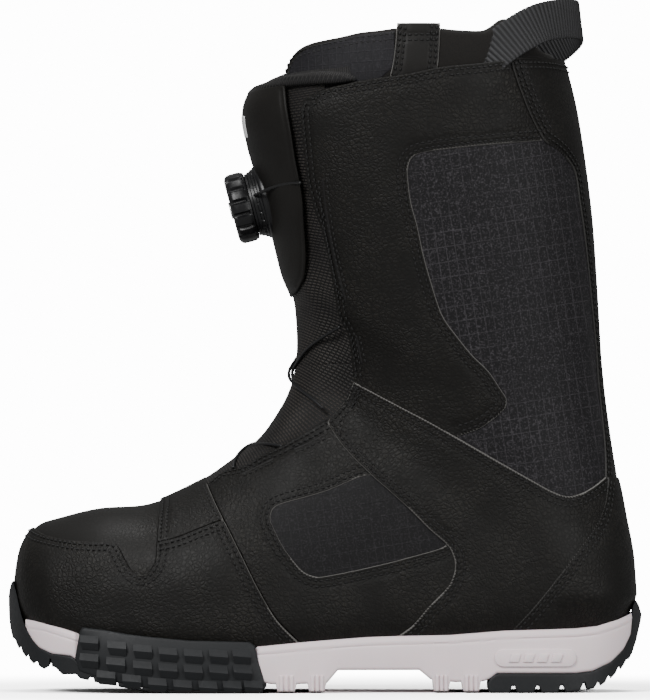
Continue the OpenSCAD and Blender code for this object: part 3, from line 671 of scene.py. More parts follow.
def panel(
    name, outline, material, lift, thick=1.5, holes=(), raw=None, seams=(), uv=side_uv, puff=0.35, edge=WALL_R,
    shape=None, clamp=1.0, step=MESH_STEP, cut=(),
):
    """A sewn panel on the upper. outline and holes are closed (u, s) polygons. raw is the material of cut edges, on
    the cut lines. seams are (line, distances in from it) for rows of stitches."""
    loops = [even_line(np.vstack([p, p[:1]]), EDGE_STEP)[:-1] for p in (outline, *holes)]
    outline, holes = loops[0], loops[1:]
    points, edges = [], []
    for loop in loops:
        start = len(points)
        points.extend(loop)
        edges.extend((start + k, start + (k + 1) % len(loop)) for k in range(len(loop)))
    rim3 = [UPPER.at(np.vstack([loop, loop[:1]])) for loop in loops]
    extra = [np.zeros((0, 2))]
    for loop in loops:
        probe = step_in(loop, True, 0.3)
        sign = 1 if inside_holed(probe, outline, holes).mean() > 0.5 else -1
        for dist in INSETS:
            ring = step_in(loop, True, sign * dist)
            ring = ring[inside_holed(ring, outline, holes)]
            if len(ring):
                ring = ring[nearest(UPPER.at(ring), rim3) > dist * 0.93]
            extra.append(ring)
    body = lattice(outline, holes, step)
    if len(body):
        body = body[nearest(UPPER.at(body), rim3) > INSETS[-1] + 1.0]
    extra.append(body)
    points = np.vstack([np.array(points), *extra])
    flat = [Vector(p) for p in (points * FLAT)]
    out_points, _, out_faces, _, _, _ = delaunay_2d_cdt(flat, edges, [], 0, 1e-5)
    us = np.array([tuple(p) for p in out_points]) / FLAT
    faces = np.array([tuple(f) for f in out_faces])
    faces = faces[inside_holed(us[faces].mean(1), outline, holes)]
    used = np.unique(faces)
    remap = np.full(len(us), -1)
    remap[used] = np.arange(len(used))
    us, faces = us[used], remap[faces]
    base = UPPER.at(us)
    dist = nearest(base, rim3)
    height = lift + puff * (1 - np.exp(-dist / 5.0))
    near = np.clip(dist / edge, 0, 1)
    height -= edge * (1 - np.sqrt(np.clip(1 - (1 - near) ** 2, 0, 1)))
    hem = np.full(len(us), 1e3)
    for line, rows in seams:
        away, _ = distances(base, UPPER.at(even_line(line, 1.2)))
        for row in rows:
            height -= STITCH_DIP * np.exp(-(((away - row) / 0.75) ** 2))
    for line in cut:
        hem = np.minimum(hem, distances(base, UPPER.at(even_line(line, 1.2)))[0])
    if shape is not None:
        height += shape(us, base)
    verts = UPPER.at(us, height)
    a, b, c = verts[faces[:, 0]], verts[faces[:, 1]], verts[faces[:, 2]]
    up = (np.cross(b - a, c - a) * UPPER.normal(us[faces].mean(1))).sum(1)
    faces[up < 0] = faces[up < 0][:, ::-1]
    slots = np.zeros(len(faces), int)
    materials = [material]
    if raw is not None:
        materials.append(raw)
        slots[(dist[faces].mean(1) < 0.5) & (hem[faces].mean(1) < 1.0)] = 1
    obj = build(name, verts, faces, materials, slots, uv(us, base))
    solidify(obj, thick, clamp)
    return obj


STITCH = 1.7
STITCH_GAP = 1.15
STITCH_R = 0.46
STITCH_SINK = 0.25
DOUBLE = (2, 4.8)         # distances of a double row from its seam
SHAFT_DOUBLE = (2, 4.6)
COLLAR_DOUBLE = (2, 4.5)


def ring_faces(rings, count, caps=True, flip=False):
    """Faces between rings of points, and over both ends."""
    faces = []
    for k in range(rings - 1):
        for q in range(count):
            a, b = k * count + q, k * count + (q + 1) % count
            faces.append((a, a + count, b + count, b) if flip else (a, b, b + count, a + count))
    if caps:
        ends = range(count), range((rings - 1) * count, rings * count)
        faces.append(tuple(ends[0] if flip else reversed(ends[0])))
        faces.append(tuple(reversed(ends[1]) if flip else ends[1]))
    return faces


def joined(parts):
    """The points and faces of several (points, faces) as one."""
    verts, faces = [], []
    for v, f in parts:
        start = len(verts)
        verts.extend(v)
        faces.extend(tuple(i + start for i in face) for face in f)
    return verts, faces


def stitch_mesh(runs):
    """Stitches along runs of (points, normals): a plump little bead of thread for each."""
    rings = [(-1.0, 0.25, -0.35), (-0.75, 0.85, 0.0), (0.0, 1.0, 0.18), (0.75, 0.85, 0.0), (1.0, 0.25, -0.35)]
    sides = 6
    bead = ring_faces(len(rings), sides, flip=True)
    verts, faces = [], []
    for points, normals in runs:
        run = run_along(points)
        count = int((run[-1] + STITCH_GAP) // (STITCH + STITCH_GAP))
        if count < 1:
            continue
        spare = (run[-1] - count * (STITCH + STITCH_GAP) + STITCH_GAP) / 2
        for k in range(count):
            middle = spare + STITCH / 2 + k * (STITCH + STITCH_GAP)
            at = np.array([np.interp([middle - 1, middle, middle + 1], run, points[:, j]) for j in range(3)]).T
            n = np.array([np.interp(middle, run, normals[:, j]) for j in range(3)])
            t = unit(at[2] - at[0])
            w = unit(np.cross(t, n))
            n = np.cross(w, t)
            start = len(verts)
            for along, fat, lift in rings:
                centre = at[1] + t * (along * STITCH / 2) + n * ((lift - STITCH_SINK) * STITCH_R)
                for q in range(sides):
                    angle = 2 * math.pi * q / sides
                    r = STITCH_R * fat
                    verts.append(centre + w * (r * math.cos(angle)) + n * (r * math.sin(angle)))
            faces.extend(tuple(i + start for i in face) for face in bead)
    return verts, faces


def seam_runs(line, rows, lift, toward, trim=1.5):
    """Stitch runs beside a (u, s) line, on the side where the place toward lies."""
    runs = []
    line = even_line(line, 1.2)
    for row in rows:
        best = None
        for sign in (1, -1):
            moved = step_in(line, False, sign * row) if row else line
            gap = np.linalg.norm(UPPER.at(moved).mean(0) - UPPER.at([toward])[0])
            if best is None or gap < best[0]:
                best = (gap, moved)
        moved = best[1][1:-1] if len(best[1]) > 4 else best[1]
        away, _ = distances(UPPER.at(moved), UPPER.at(line))
        moved = moved[away > row * 0.9] if row else moved
        if len(moved) > 2:
            runs.append((UPPER.at(moved, lift), UPPER.normal(moved)))
    return runs


def sew(name, runs, material):
    verts, faces = stitch_mesh(runs)
    return build(name, verts, faces, material)


# ---------------------------------------------------------------- looks

LEATHER = leather("pebbled_leather", (0.003, 0.0027, 0.0022), (0.0112, 0.01, 0.008), 0.47)
CAP_LEATHER = leather("toe_cap_leather", (0.0042, 0.0038, 0.0031), (0.0115, 0.0103, 0.0082), 0.45, calm=True)
SKIN = smooth_skin("smooth_leather", (0.0048, 0.0043, 0.0037), (0.0082, 0.0074, 0.0064), 0.5)
RAW = plain("cut_edge", (0.1, 0.096, 0.09), 0.75)
RAW_DIM = plain("cut_edge_dim", (0.02, 0.0188, 0.0175), 0.75)
RIPSTOP = ripstop("ripstop_cloth", (0.0032, 0.0029, 0.0036), (0.046, 0.042, 0.047))
INSET_RIPSTOP = ripstop("inset_ripstop", (0.0022, 0.002, 0.0024), (0.018, 0.0165, 0.0185))
LINER_RIPSTOP = ripstop("liner_ripstop", (0.006, 0.0056, 0.0072), (0.018, 0.0166, 0.02), 3.6, 5.0, 4.0)
MESH = rib_mesh("tongue_mesh_cloth", (0.0022, 0.002, 0.0021), (0.04, 0.034, 0.029))
BINDING = rib_mesh("binding_tape", (0.003, 0.0028, 0.003), (0.03, 0.0275, 0.0265), 1.15, 9.0, 90.0)
NEOPRENE = neoprene("neoprene", (0.0052, 0.0046, 0.004), (0.0105, 0.0092, 0.008))
THREAD = plain("thread", (0.0022, 0.002, 0.0019), 0.8)
WEBBING = webbing("loop_webbing", (0.0022, 0.0022, 0.0024), (0.034, 0.034, 0.036))
CABLE = moulded("coated_cable", (0.008, 0.008, 0.0085), 0.35, 0.02)
DIAL_BLACK = moulded("dial_plastic", (0.004, 0.004, 0.0045), 0.36, 0.03, 1400)
DIAL_GREY = moulded("dial_inlay", (0.013, 0.013, 0.0145), 0.4, 0.03, 1400)
RUBBER = moulded("sole_rubber", (0.0072, 0.0081, 0.0092), 0.55, 0.05, 700)
FOAM = foam("midsole_foam", (0.87, 0.745, 0.765), (0.81, 0.69, 0.71))
BOARD = plain("board", (0.3, 0.26, 0.2), 0.8)
FOAM_DARK = neoprene("footbed_foam", (0.02, 0.02, 0.022), (0.04, 0.04, 0.044))
STEEL = metal("steel", (0.5, 0.5, 0.5), 0.35)
MARK = plain("mark", (0.72, 0.72, 0.72), 0.5)
GUIDE = smooth_skin("guide_tape", (0.006, 0.0056, 0.0056), (0.012, 0.0115, 0.011), 0.55)

# ---------------------------------------------------------------- seam lines, side view in millimetres (x, z)

FEATHER = [
    (-149, 37), (-143, 35), (-135, 34), (-125, 31), (-117, 28.5), (-95, 26), (-65, 23.5), (-33, 22.5), (-12, 24.5),
    (0, 25.5), (20, 27), (35, 27.5), (60, 28), (85, 30), (120, 31), (130, 32), (140, 35), (147, 38),
]
TOE_CAP_EDGE = [
    (-140, 78), (-132, 74), (-120, 72), (-110, 71.5), (-103, 71.5), (-99, 70), (-95, 63), (-92, 58.5), (-88, 56.5),
    (-84, 58), (-81, 63), (-80.5, 70),
]
TOE_CAP_REAR = [(-80.5, 70), (-80, 78), (-79.3, 86), (-79, 91)]
VAMP_SEAM = [(-80.5, 71.5), (-78, 72), (-70, 74), (-60, 78), (-50, 82)]
QUARTER_FRONT = [(-56, 99), (-52, 90), (-48, 82), (-40, 66), (-32, 50), (-23, 35), (-12, 24), (-10, 20)]
QUARTER_TOP = [
    (-56, 99), (-48, 105), (-38, 108), (-30, 113), (-20, 118), (-15, 121), (-8, 125), (0, 130), (3, 131),
]
MIDFOOT_WINDOW = [
    (-18, 91), (0, 96), (21, 104), (30, 97), (40, 88), (50, 78), (58, 71), (40, 65), (20, 60), (0, 56), (-5, 56),
    (-10, 58), (-14, 62), (-20, 70), (-25, 80), (-26, 84), (-24, 88.5),
]
ANKLE_FRONT = [
    (14, 149), (12, 142), (9, 138), (5, 133), (1.5, 129), (3, 126), (10, 116), (22, 104), (30, 97), (40, 88),
    (50, 78), (58, 71), (61, 66), (62, 60), (60, 53), (57, 49), (50, 42), (42, 33), (35, 28), (32, 24),
]
ANKLE_TOP = [
    (14, 149), (20, 146), (35, 138), (50, 130), (63, 122.5), (75, 115.5), (87, 108.5), (100, 101), (108, 96.5),
    (115, 94), (121, 95), (127, 98), (133.5, 103),
]
HEEL_EDGE = [
    (134, 103), (133, 95), (131, 86), (127, 78), (120, 68), (112, 57), (104, 47), (97, 39), (88, 30), (85, 26),
]
CUFF_FRONT = [
    (-8, 284.5), (-10, 283), (-11.5, 278), (-11, 270), (-10, 260), (-9, 250), (-8, 243), (-5, 232), (-1, 220),
    (2, 207), (5, 190), (7, 180), (11, 172), (13, 160), (14, 149),
]
COLLAR = [
    (-8, 284.5), (0, 288.5), (10, 291), (20, 293), (40, 296), (55, 299), (75, 301), (88, 302.5),
]
CUFF_BACK = [(88, 302.5), (92, 290), (98, 275), (104, 264)]
CALF_TOP = [(104, 264), (80, 262), (60, 260), (46, 258), (41, 255), (39.5, 250)]
CALF_FRONT = [
    (39.5, 247), (41, 235), (44, 224), (47, 210), (50, 199), (54, 186), (57, 179), (62, 172), (70, 162), (78, 154),
    (84, 145), (86.5, 141), (86.5, 137), (84, 134), (80, 130.5), (73, 126), (64, 123),
]
STAY_FRONT = [
    (104, 264), (110, 260), (115, 255), (119, 248), (121, 235), (123, 222), (125, 205), (127, 185), (129, 165),
    (130, 150), (131.5, 135), (133, 120), (133.5, 110), (133.5, 103),
]
LIP = [(88, 302.5), (100, 303), (110, 302), (116, 300)]


def smooth_line(points, steps=6):
    return catmull(points, steps)


def both(points, back=False):
    """A line of the side view on both sides, as an outer and an inner (u, s) line; with back, the inner line's s is
    moved down by 2 so that the two meet over the back instead of over the front.
    """
    outer = UPPER.find(points, OUTER)
    inner = UPPER.find(points, INNER)
    if back:
        inner = inner - np.array([0, 2.0])
    return outer, inner


def grown(polygon, dist):
    """A closed (u, s) polygon moved outwards."""
    polygon = even_line(np.vstack([polygon, polygon[:1]]), 1.2)[:-1]
    moved = step_in(polygon, True, 0.4)
    sign = -1 if inside(moved, polygon).mean() > 0.5 else 1
    ring = step_in(polygon, True, sign * dist)
    far, _ = distances(UPPER.at(ring), UPPER.at(np.vstack([polygon, polygon[:1]])))
    return ring[far > dist * 0.9]


def under(points, dz):
    return [(x, z - dz) for x, z in points]


def on_front(x, z):
    """The (u, s) place on the centre line of the front, as a row for an outline."""
    return [[UPPER.find([(x, z)], OUTER)[0, 0], 0]]


def on_back(x, z):
    return [[UPPER.find([(x, z)], OUTER)[0, 0], -1.0]]


def place(x, z, side=OUTER):
    return UPPER.find([(x, z)], side)[0]


def feather(first, last):
    """The line where the upper meets the sole, from one x to another, lowered so that panels end inside the sole."""
    return under(smooth_line([p for p in FEATHER if first < p[0] < last]), 4)


SIDES = ((OUTER, "lateral"), (INNER, "medial"))
FLIP = np.array([1, -1])     # takes (u, s) to the other side
HEM = 4.5            # how far a panel runs under its neighbour


def ankle_blend(obj):
    """Bakes the object's transform into its mesh."""
    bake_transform(obj)


def heel_shape(us, base):
    """The heel panel dips under the midsole's edge."""
    return -3.6 * np.clip((46 - base[:, 2]) / 9, 0, 1) * np.clip((base[:, 0] - 108) / 14, 0, 1)


def add_foot_panels():
    # toe cap
    cap = UPPER.find(smooth_line(TOE_CAP_EDGE), OUTER)
    rear = UPPER.find(smooth_line(TOE_CAP_REAR), OUTER)
    cap_in, rear_in = cap * FLIP, rear * FLIP
    nose, top = on_front(-141.5, 78), on_front(-79, 91)
    outline = np.vstack([nose, cap, rear, top, rear_in[::-1], cap_in[::-1]])
    cap_piece = panel("toe_cap", grown(outline, HEM), CAP_LEATHER, 0.2, puff=0.1)
    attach(cap_piece, "foot")
    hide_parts("toe_cap")
    # vamp
    seam = UPPER.find(smooth_line(VAMP_SEAM), OUTER)
    first = UPPER.find(smooth_line([(-56, 99), (-52, 90), (-48, 82)]), OUTER)
    outline = np.vstack([top, rear[::-1], seam, first[::-1], on_front(-56.5, 99)])
    whole = np.vstack([outline, (outline[1:-1] * FLIP)[::-1]])
    vamp = panel(
        "vamp", whole, LEATHER, 1.2, raw=RAW,
        seams=[(rear, DOUBLE), (rear_in, DOUBLE)], cut=[first, first * FLIP],
    )
    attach(vamp, "foot")
    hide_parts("vamp")
    # rand round the toe, under the vamp
    hem = UPPER.find(feather(-200, -9.9), OUTER)
    hem = hem[hem[:, 0] > 0.3]
    lower = UPPER.find(smooth_line([(-48, 82), (-40, 66), (-32, 50), (-23, 35), (-12, 24), (-10, 20)]), OUTER)
    half = np.vstack([cap, seam, lower, hem[::-1]])
    low_outer, low_inner = [[0.02, -0.5], [0.02, -0.99]], [[0.02, 0.99], [0.02, 0.5], [0.02, 0.0]]
    outline = np.vstack([low_outer, half[::-1], nose, half * FLIP, low_inner])
    rand = panel(
        "toe_rand", outline, LEATHER, 1.7, raw=RAW,
        seams=[(line * flip, DOUBLE) for line in (np.vstack([nose, cap]), seam, lower) for flip in (1, FLIP)],
        cut=[lower, lower * FLIP],
    )
    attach(rand, "foot")
    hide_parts("toe_rand", "toe_puff")
    runs = []
    for flip in (1, FLIP):
        for line in (np.vstack([nose, cap]), seam, lower):
            runs += seam_runs(line * flip, DOUBLE, 1.95, place(-100, 45) * flip)
        for line in (rear, first):
            runs += seam_runs(line * flip, DOUBLE, 1.45, place(-70, 85) * flip)
    thread = sew("toe_stitches", runs, THREAD)
    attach(thread, "foot")

    runs = []
    for side, word in SIDES:
        find = lambda pts: UPPER.find(pts, side)
        front = find(smooth_line(QUARTER_FRONT))
        up = find(smooth_line(QUARTER_TOP))
        ankle = find(smooth_line(ANKLE_FRONT))
        base = find(feather(-14, 40))
        window = find(smooth_line(MIDFOOT_WINDOW + MIDFOOT_WINDOW[:1], 4))[:-1]
        back = find(smooth_line([
            (9, 131), (14, 118), (27, 106), (46, 90), (64, 73), (67, 60), (64, 50), (46, 30), (40, 23),
        ]))
        rim = np.vstack([window, window[:1]])
        outline = np.vstack([front[::-1], up[1:], back, base[::-1]])
        quarter = panel(
            word + "_quarter", outline, LEATHER, 1.0, holes=[window], raw=RAW,
            seams=[(rim, DOUBLE), (up, DOUBLE)], cut=[rim],
        )
        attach(quarter, "foot")
        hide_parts(word + "_quarter")
        inset = panel(word + "_midfoot_inset", grown(window, HEM), INSET_RIPSTOP, 0.25, puff=0.3)
        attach(inset, "foot")
        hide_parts(word + "_midfoot_inset")
        # ankle panel
        over = find(smooth_line(ANKLE_TOP))
        heel = find(smooth_line([(134, 103), (136, 90), (132, 78), (118, 60), (104, 42), (92, 27)]))
        low = find(feather(28, 96))
        outline = np.vstack([ankle[::-1], over[1:], heel[1:], low[::-1]])
        wrap = panel(
            word + "_ankle_panel", outline, LEATHER, 1.9, raw=RAW, puff=0.5,
            seams=[(over, DOUBLE), (ankle, DOUBLE)], cut=[over, ankle],
        )
        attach(wrap, "foot")
        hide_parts(word + "_ankle_panel")
        middle = place(75, 80, side)
        for row in DOUBLE:
            loop = grown(window, row)
            loop = np.vstack([loop, loop[:1]])
            runs.append((UPPER.at(loop, 1.2), UPPER.normal(loop)))
        runs += seam_runs(up, DOUBLE, 1.2, place(-10, 60, side))
        runs += seam_runs(ankle, DOUBLE, 2.2, middle)
        runs += seam_runs(over, DOUBLE, 2.2, middle)
        runs += seam_runs(find(smooth_line(HEEL_EDGE[:-1])), DOUBLE, 2.75, place(135, 60, side))
    outer, inner = both(smooth_line(HEEL_EDGE), back=True)
    low_o, low_i = both(feather(84, 200), back=True)
    outline = np.vstack([outer, low_o, low_i[::-1], inner[::-1], on_back(141, 101)])
    heel_panel = panel(
        "heel_panel", outline, LEATHER, 2.4, raw=RAW_DIM, puff=0.6, shape=heel_shape,
        cut=[outer, inner], seams=[(outer, DOUBLE), (inner, DOUBLE)],
    )
    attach(heel_panel, "foot")
    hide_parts("heel_panel", "heel_counter")
    thread = sew("foot_stitches", runs, THREAD)
    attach(thread, "foot")


def add_shaft_panels():
    runs = []
    for side, word in SIDES:
        find = lambda pts: UPPER.find(pts, side)
        front = find(smooth_line(CUFF_FRONT))
        top = find(smooth_line(COLLAR))
        back = find(smooth_line(CUFF_BACK))
        crown = find(smooth_line(CALF_TOP))
        calf = find(smooth_line(CALF_FRONT))
        opening = np.vstack([crown, calf])
        hidden = find(smooth_line([(60, 116), (50, 124), (35, 132), (20, 140), (12, 142.5)]))
        outline = np.vstack([front[::-1], top[1:], back[1:], crown[1:], calf, hidden])
        cuff = panel(
            word + "_cuff", outline, LEATHER, 1.2, raw=RAW,
            seams=[(opening, DOUBLE), (top, COLLAR_DOUBLE), (front, SHAFT_DOUBLE)], puff=0.5, cut=[opening],
        )
        ankle_blend(cuff)
        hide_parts(word + "_cuff")
        low = find(smooth_line([(140, 98), (128, 91), (115, 88), (98, 95), (80, 106), (58, 119)]))
        rim = find(smooth_line([
            (50, 124), (66, 127), (76, 132), (81, 139), (76, 147), (66, 157), (56, 170), (47, 190), (40, 215),
            (36, 240), (35, 252), (39, 260), (50, 264), (80, 268), (104, 270),
        ]))
        rear = find(smooth_line([(112, 266), (121, 256), (126, 236), (129, 205), (132, 170), (135, 140), (138, 115)]))
        outline = np.vstack([low[1:], rim, rear])
        calf_piece = panel(word + "_calf_inset", outline, RIPSTOP, 0.2, puff=0.4)
        ankle_blend(calf_piece)
        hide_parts(word + "_calf_inset")
        within = place(25, 220, side)
        runs += seam_runs(opening, DOUBLE, 1.5, within)
        runs += seam_runs(top, COLLAR_DOUBLE, 1.5, place(40, 270, side))
        runs += seam_runs(front, SHAFT_DOUBLE, 1.5, within)
        runs += seam_runs(find(smooth_line(STAY_FRONT)), SHAFT_DOUBLE, 1.75, place(134, 200, side))
        runs += seam_runs(back, (1.8, 4.2, 6.6), 1.9, place(112, 285, side))
        runs += seam_runs(find(smooth_line(LIP)), COLLAR_DOUBLE, 1.9, place(110, 285, side))
    outer, inner = both(smooth_line(CUFF_BACK + STAY_FRONT[1:]), back=True)
    lip_o, lip_i = both(smooth_line(LIP), back=True)
    low_o, low_i = both([(134, 99), (138, 98.5)], back=True)
    outline = np.vstack([
        outer[::-1], lip_o[1:], on_back(116.5, 300.5), lip_i[1:][::-1], inner, low_i, on_back(141, 98), low_o[::-1],
    ])
    stay = panel(
        "back_stay", outline, LEATHER, 1.4, raw=RAW_DIM, cut=[outer, inner], puff=0.4,
        seams=[(outer, SHAFT_DOUBLE), (inner, SHAFT_DOUBLE)],
    )
    ankle_blend(stay)
    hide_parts("back_stay")
    thread = sew("shaft_stitches", runs, THREAD)
    ankle_blend(thread)


# ---------------------------------------------------------------- swept pieces


def sweep(points, sides, ups, profile, scale):
    """Rings of a profile carried along points; the profile's first number goes along sides, the second along ups."""
    verts = []
    for k, p in enumerate(points):
        verts.extend(p + scale[k] * (profile[:, :1] * sides[k] + profile[:, 1:] * ups[k]))
    return np.array(verts), ring_faces(len(points), len(profile))


def rounded(width, height, power=4.0, count=20):
    """A rounded bar's cross-section."""
    angle = np.linspace(0, 2 * np.pi, count, endpoint=False)
    c, s = np.cos(angle), np.sin(angle)
    return np.stack([
        width / 2 * np.sign(c) * np.abs(c) ** (2 / power), height / 2 * np.sign(s) * np.abs(s) ** (2 / power)
    ], 1)


def resample(points, step):
    run = run_along(points)
    even = np.linspace(0, run[-1], max(2, int(run[-1] / step) + 1))
    return np.stack([np.interp(even, run, points[:, j]) for j in range(points.shape[1])], 1)


def cable(name, routes, d):
    """Round cables on smooth routes, with the faint twist of a wound core under the coating."""
    parts = []
    angle = np.linspace(0, 2 * np.pi, CABLE_SIDES, endpoint=False)
    for route in routes:
        p = resample(catmull(route, 8), 0.9)
        t = unit(np.gradient(p, axis=0))
        side = unit(np.cross(t, [0, 0, 1.0]))
        up = np.cross(side, t)
        verts = []
        for k in range(len(p)):
            r = d / 2 * (1 + 0.045 * np.cos(6 * (angle + k * 0.5)))
            verts.extend(p[k] + (r * np.cos(angle))[:, None] * side[k] + (r * np.sin(angle))[:, None] * up[k])
        parts.append((verts, ring_faces(len(p), CABLE_SIDES)))
    return build(name, *joined(parts), CABLE)


UPPER_ROUTE = [
    (-33.6, -12.5, 237.8), (-33.2, -17, 238), (-30.3, -22.5, 239.4), (-25.5, -28, 241.5), (-20.7, -33.8, 243),
    (-15.3, -40.1, 243.8), (-11.5, -44, 243.8),
]
ANKLE_ROUTE = [
    (6.5, -34.5, 175), (-1, -27.8, 170.5), (-9, -17.5, 164.5), (-14, -8, 158), (-16.5, 2, 153), (-15, 12.5, 148.5),
    (-7, 24, 142), (0, 30.5, 136),
]
LOWER_ROUTE = [
    (-21, -27.5, 118.5), (-28.5, -19, 119.5), (-34, -9.5, 119), (-38.3, 0, 116.5), (-41, 9, 113.5),
    (-42.5, 17, 110.5), (-42.8, 21.6, 107.9),
]
CABLE_D = 1.5
CABLE_SIDES = 12


def mirrored(route, dx=0.0, dz=0.0):
    return [(x + dx, -y, z + dz) for x, y, z in route]


def add_laces():
    near = [(x + 0.5, y, z - 0.7) for x, y, z in LOWER_ROUTE]
    lower = cable("lower_lace", [near, mirrored(near, -1.6, 0.2)], CABLE_D)
    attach(lower, "foot")
    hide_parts("lower_lace")
    near = [(x + 0.8, y, z) for x, y, z in ANKLE_ROUTE]
    ankle = cable("ankle_lace", [near, mirrored(near, -1.6)], CABLE_D)
    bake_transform(ankle)
    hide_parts("ankle_lace")
    upper = cable("upper_lace", [UPPER_ROUTE, mirrored(UPPER_ROUTE)], CABLE_D)
    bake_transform(upper)
    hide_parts("upper_lace")


# ---------------------------------------------------------------- tongue

TONGUE_SEAM = 157.0    # height where the tongue's fixed base gives way to the part that opens
SHIELD_EDGE = [
    (-20, 290.5), (-19, 290), (-18, 280), (-16, 268), (-14, 255), (-12, 245), (-10.5, 235), (-10, 225), (-9, 210),
    (-9.5, 200), (-11, 195), (-13.2, 191.5), (-15.6, 189.5),
]
BINDING_LOW = [
    (-38, 284), (-34, 285.7), (-31.2, 287), (-20, 289.6), (-10, 290.6), (-2, 290.9), (7, 291.2), (14.5, 292.2),
]
BINDING_TOP = [
    (-38, 286.3), (-34, 289.8), (-31.2, 291.3), (-20, 294.8), (-10, 296.4), (-2, 297.2), (8, 296.6), (14, 294.6),
]


def tongue_shape(us, base):
    """Height over the surface: the tongue falls away towards its sides, and is fuller low down."""
    t = np.clip((base[:, 2] - 132) / 22, 0, 1)
    t = t * t * (3 - 2 * t)
    side = np.clip((np.abs(front_uv(us, base)[:, 0]) - 16 - 10 * t) / (12 + 2 * t), 0, 1)
    return 1.2 * (1 - t) - (2.8 - 0.2 * t) * side * side * (3 - 2 * side)


def crossing(points):
    line = UPPER.find(points, OUTER)
    return line, line * FLIP


def add_tongue():
    # fixed base, from the vamp to the crease of the instep
    outer, inner = crossing(smooth_line([
        (-57, 97), (-50, 98), (-44, 100), (-34, 104), (-24, 109), (-12, 115), (0, 121), (8, 128), (14, 136),
        (19, 146), (20, TONGUE_SEAM),
    ]))
    low, high = on_front(-57.5, 99), on_front(-14, TONGUE_SEAM)
    level = UPPER.find([(x, TONGUE_SEAM) for x in (12, 4, -3, -9, -12.5)], OUTER)
    outline = np.vstack([low, outer, level, high, (level * FLIP)[::-1], inner[::-1]])
    base = panel("tongue_base", outline, MESH, -0.3, thick=3.4, uv=front_uv, puff=0, edge=0.01, shape=tongue_shape)
    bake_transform(base)
    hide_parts("tongue_base")
    # upper tongue
    outer, inner = crossing(smooth_line([
        (20, TONGUE_SEAM), (20, 168), (15, 182), (12, 195), (8, 210), (4, 226), (0, 245), (-2, 262), (-2, 280),
        (-1, 292),
    ]))
    crest = UPPER.find([(-34, 289), (-28, 291), (-20, 292.5), (-10, 293)], OUTER)
    outline = np.vstack([
        high, level[::-1], outer, crest[::-1], on_front(-37.5, 287), crest * FLIP, inner[::-1], level * FLIP,
    ])
    tongue = panel("tongue", outline, MESH, -0.3, thick=7.0, uv=front_uv, puff=0, edge=0.01, shape=tongue_shape)
    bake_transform(tongue)
    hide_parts("tongue_pad", "tongue_mesh")
    # smooth shield with the dial
    edge_line, edge_in = crossing(smooth_line(SHIELD_EDGE))
    outline = np.vstack([on_front(-38, 286), edge_line, on_front(-15.8, 189), edge_in[::-1]])
    shield = panel(
        "tongue_shield", outline, SKIN, 0.9, thick=1.6, puff=0.25, seams=[(edge_line, (2.2,)), (edge_in, (2.2,))],
    )
    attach(shield, "tongue")
    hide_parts("tongue_shield")
    # plain light bar near the top of the shield
    high, low = UPPER.find([(-38.4, 276), (-38.4, 266)], OUTER)[:, 0]
    wide = place(-36.9, 271)[1]
    ring = even_line([[high, 0], [high, wide], [low, wide], [low, -wide], [high, -wide], [high, 0]], 0.6)
    mark = panel("shield_mark", ring[:-1], MARK, 1.3, thick=0.4, puff=0.0, edge=0.2, step=1.6)
    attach(mark, "tongue")
    # binding over the top edge
    low_o, low_i = crossing(smooth_line(BINDING_LOW))
    top_o, top_i = crossing(smooth_line(BINDING_TOP))
    outline = np.vstack([on_front(-38.4, 284), low_o, top_o[::-1], on_front(-37, 290.5), top_i, low_i[::-1]])
    band = panel("tongue_binding", outline, BINDING, 0.9, thick=9.3, puff=0.3, edge=2.0, uv=front_uv, clamp=0)
    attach(band, "tongue")
    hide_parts("tongue_binding")
    # inner tongue of the liner
    outer, inner = crossing(smooth_line([
        (12, 162), (8, 176), (4, 195), (0, 215), (-6, 240), (-9, 262), (-9, 280), (-9, 292), (-12, 296),
    ]))
    outline = np.vstack([on_front(-14, 162), outer, on_front(-29, 296), inner[::-1]])
    inner_tongue = panel("liner_tongue", outline, NEOPRENE, -8.6, thick=5.6, puff=0.6, edge=2.5, clamp=0, step=3.4)
    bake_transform(inner_tongue)
    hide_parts("liner_tongue")


# ---------------------------------------------------------------- liner and loop

LINER_RIM = [
    (-23.5, 293), (-23.2, 298), (-21.4, 303.2), (-17.5, 308.4), (-10, 311.8), (5, 314.6), (15, 316.6), (25, 317.6),
    (33, 318.6), (43, 319), (53, 318.8), (65, 317.8), (77, 317.6), (82, 319.6), (87, 322.8), (92, 323), (97, 319),
    (103, 312.6), (109, 308), (115, 307),
]
LINER_DEPTH = 4.3
LINER_THICK = 9.0


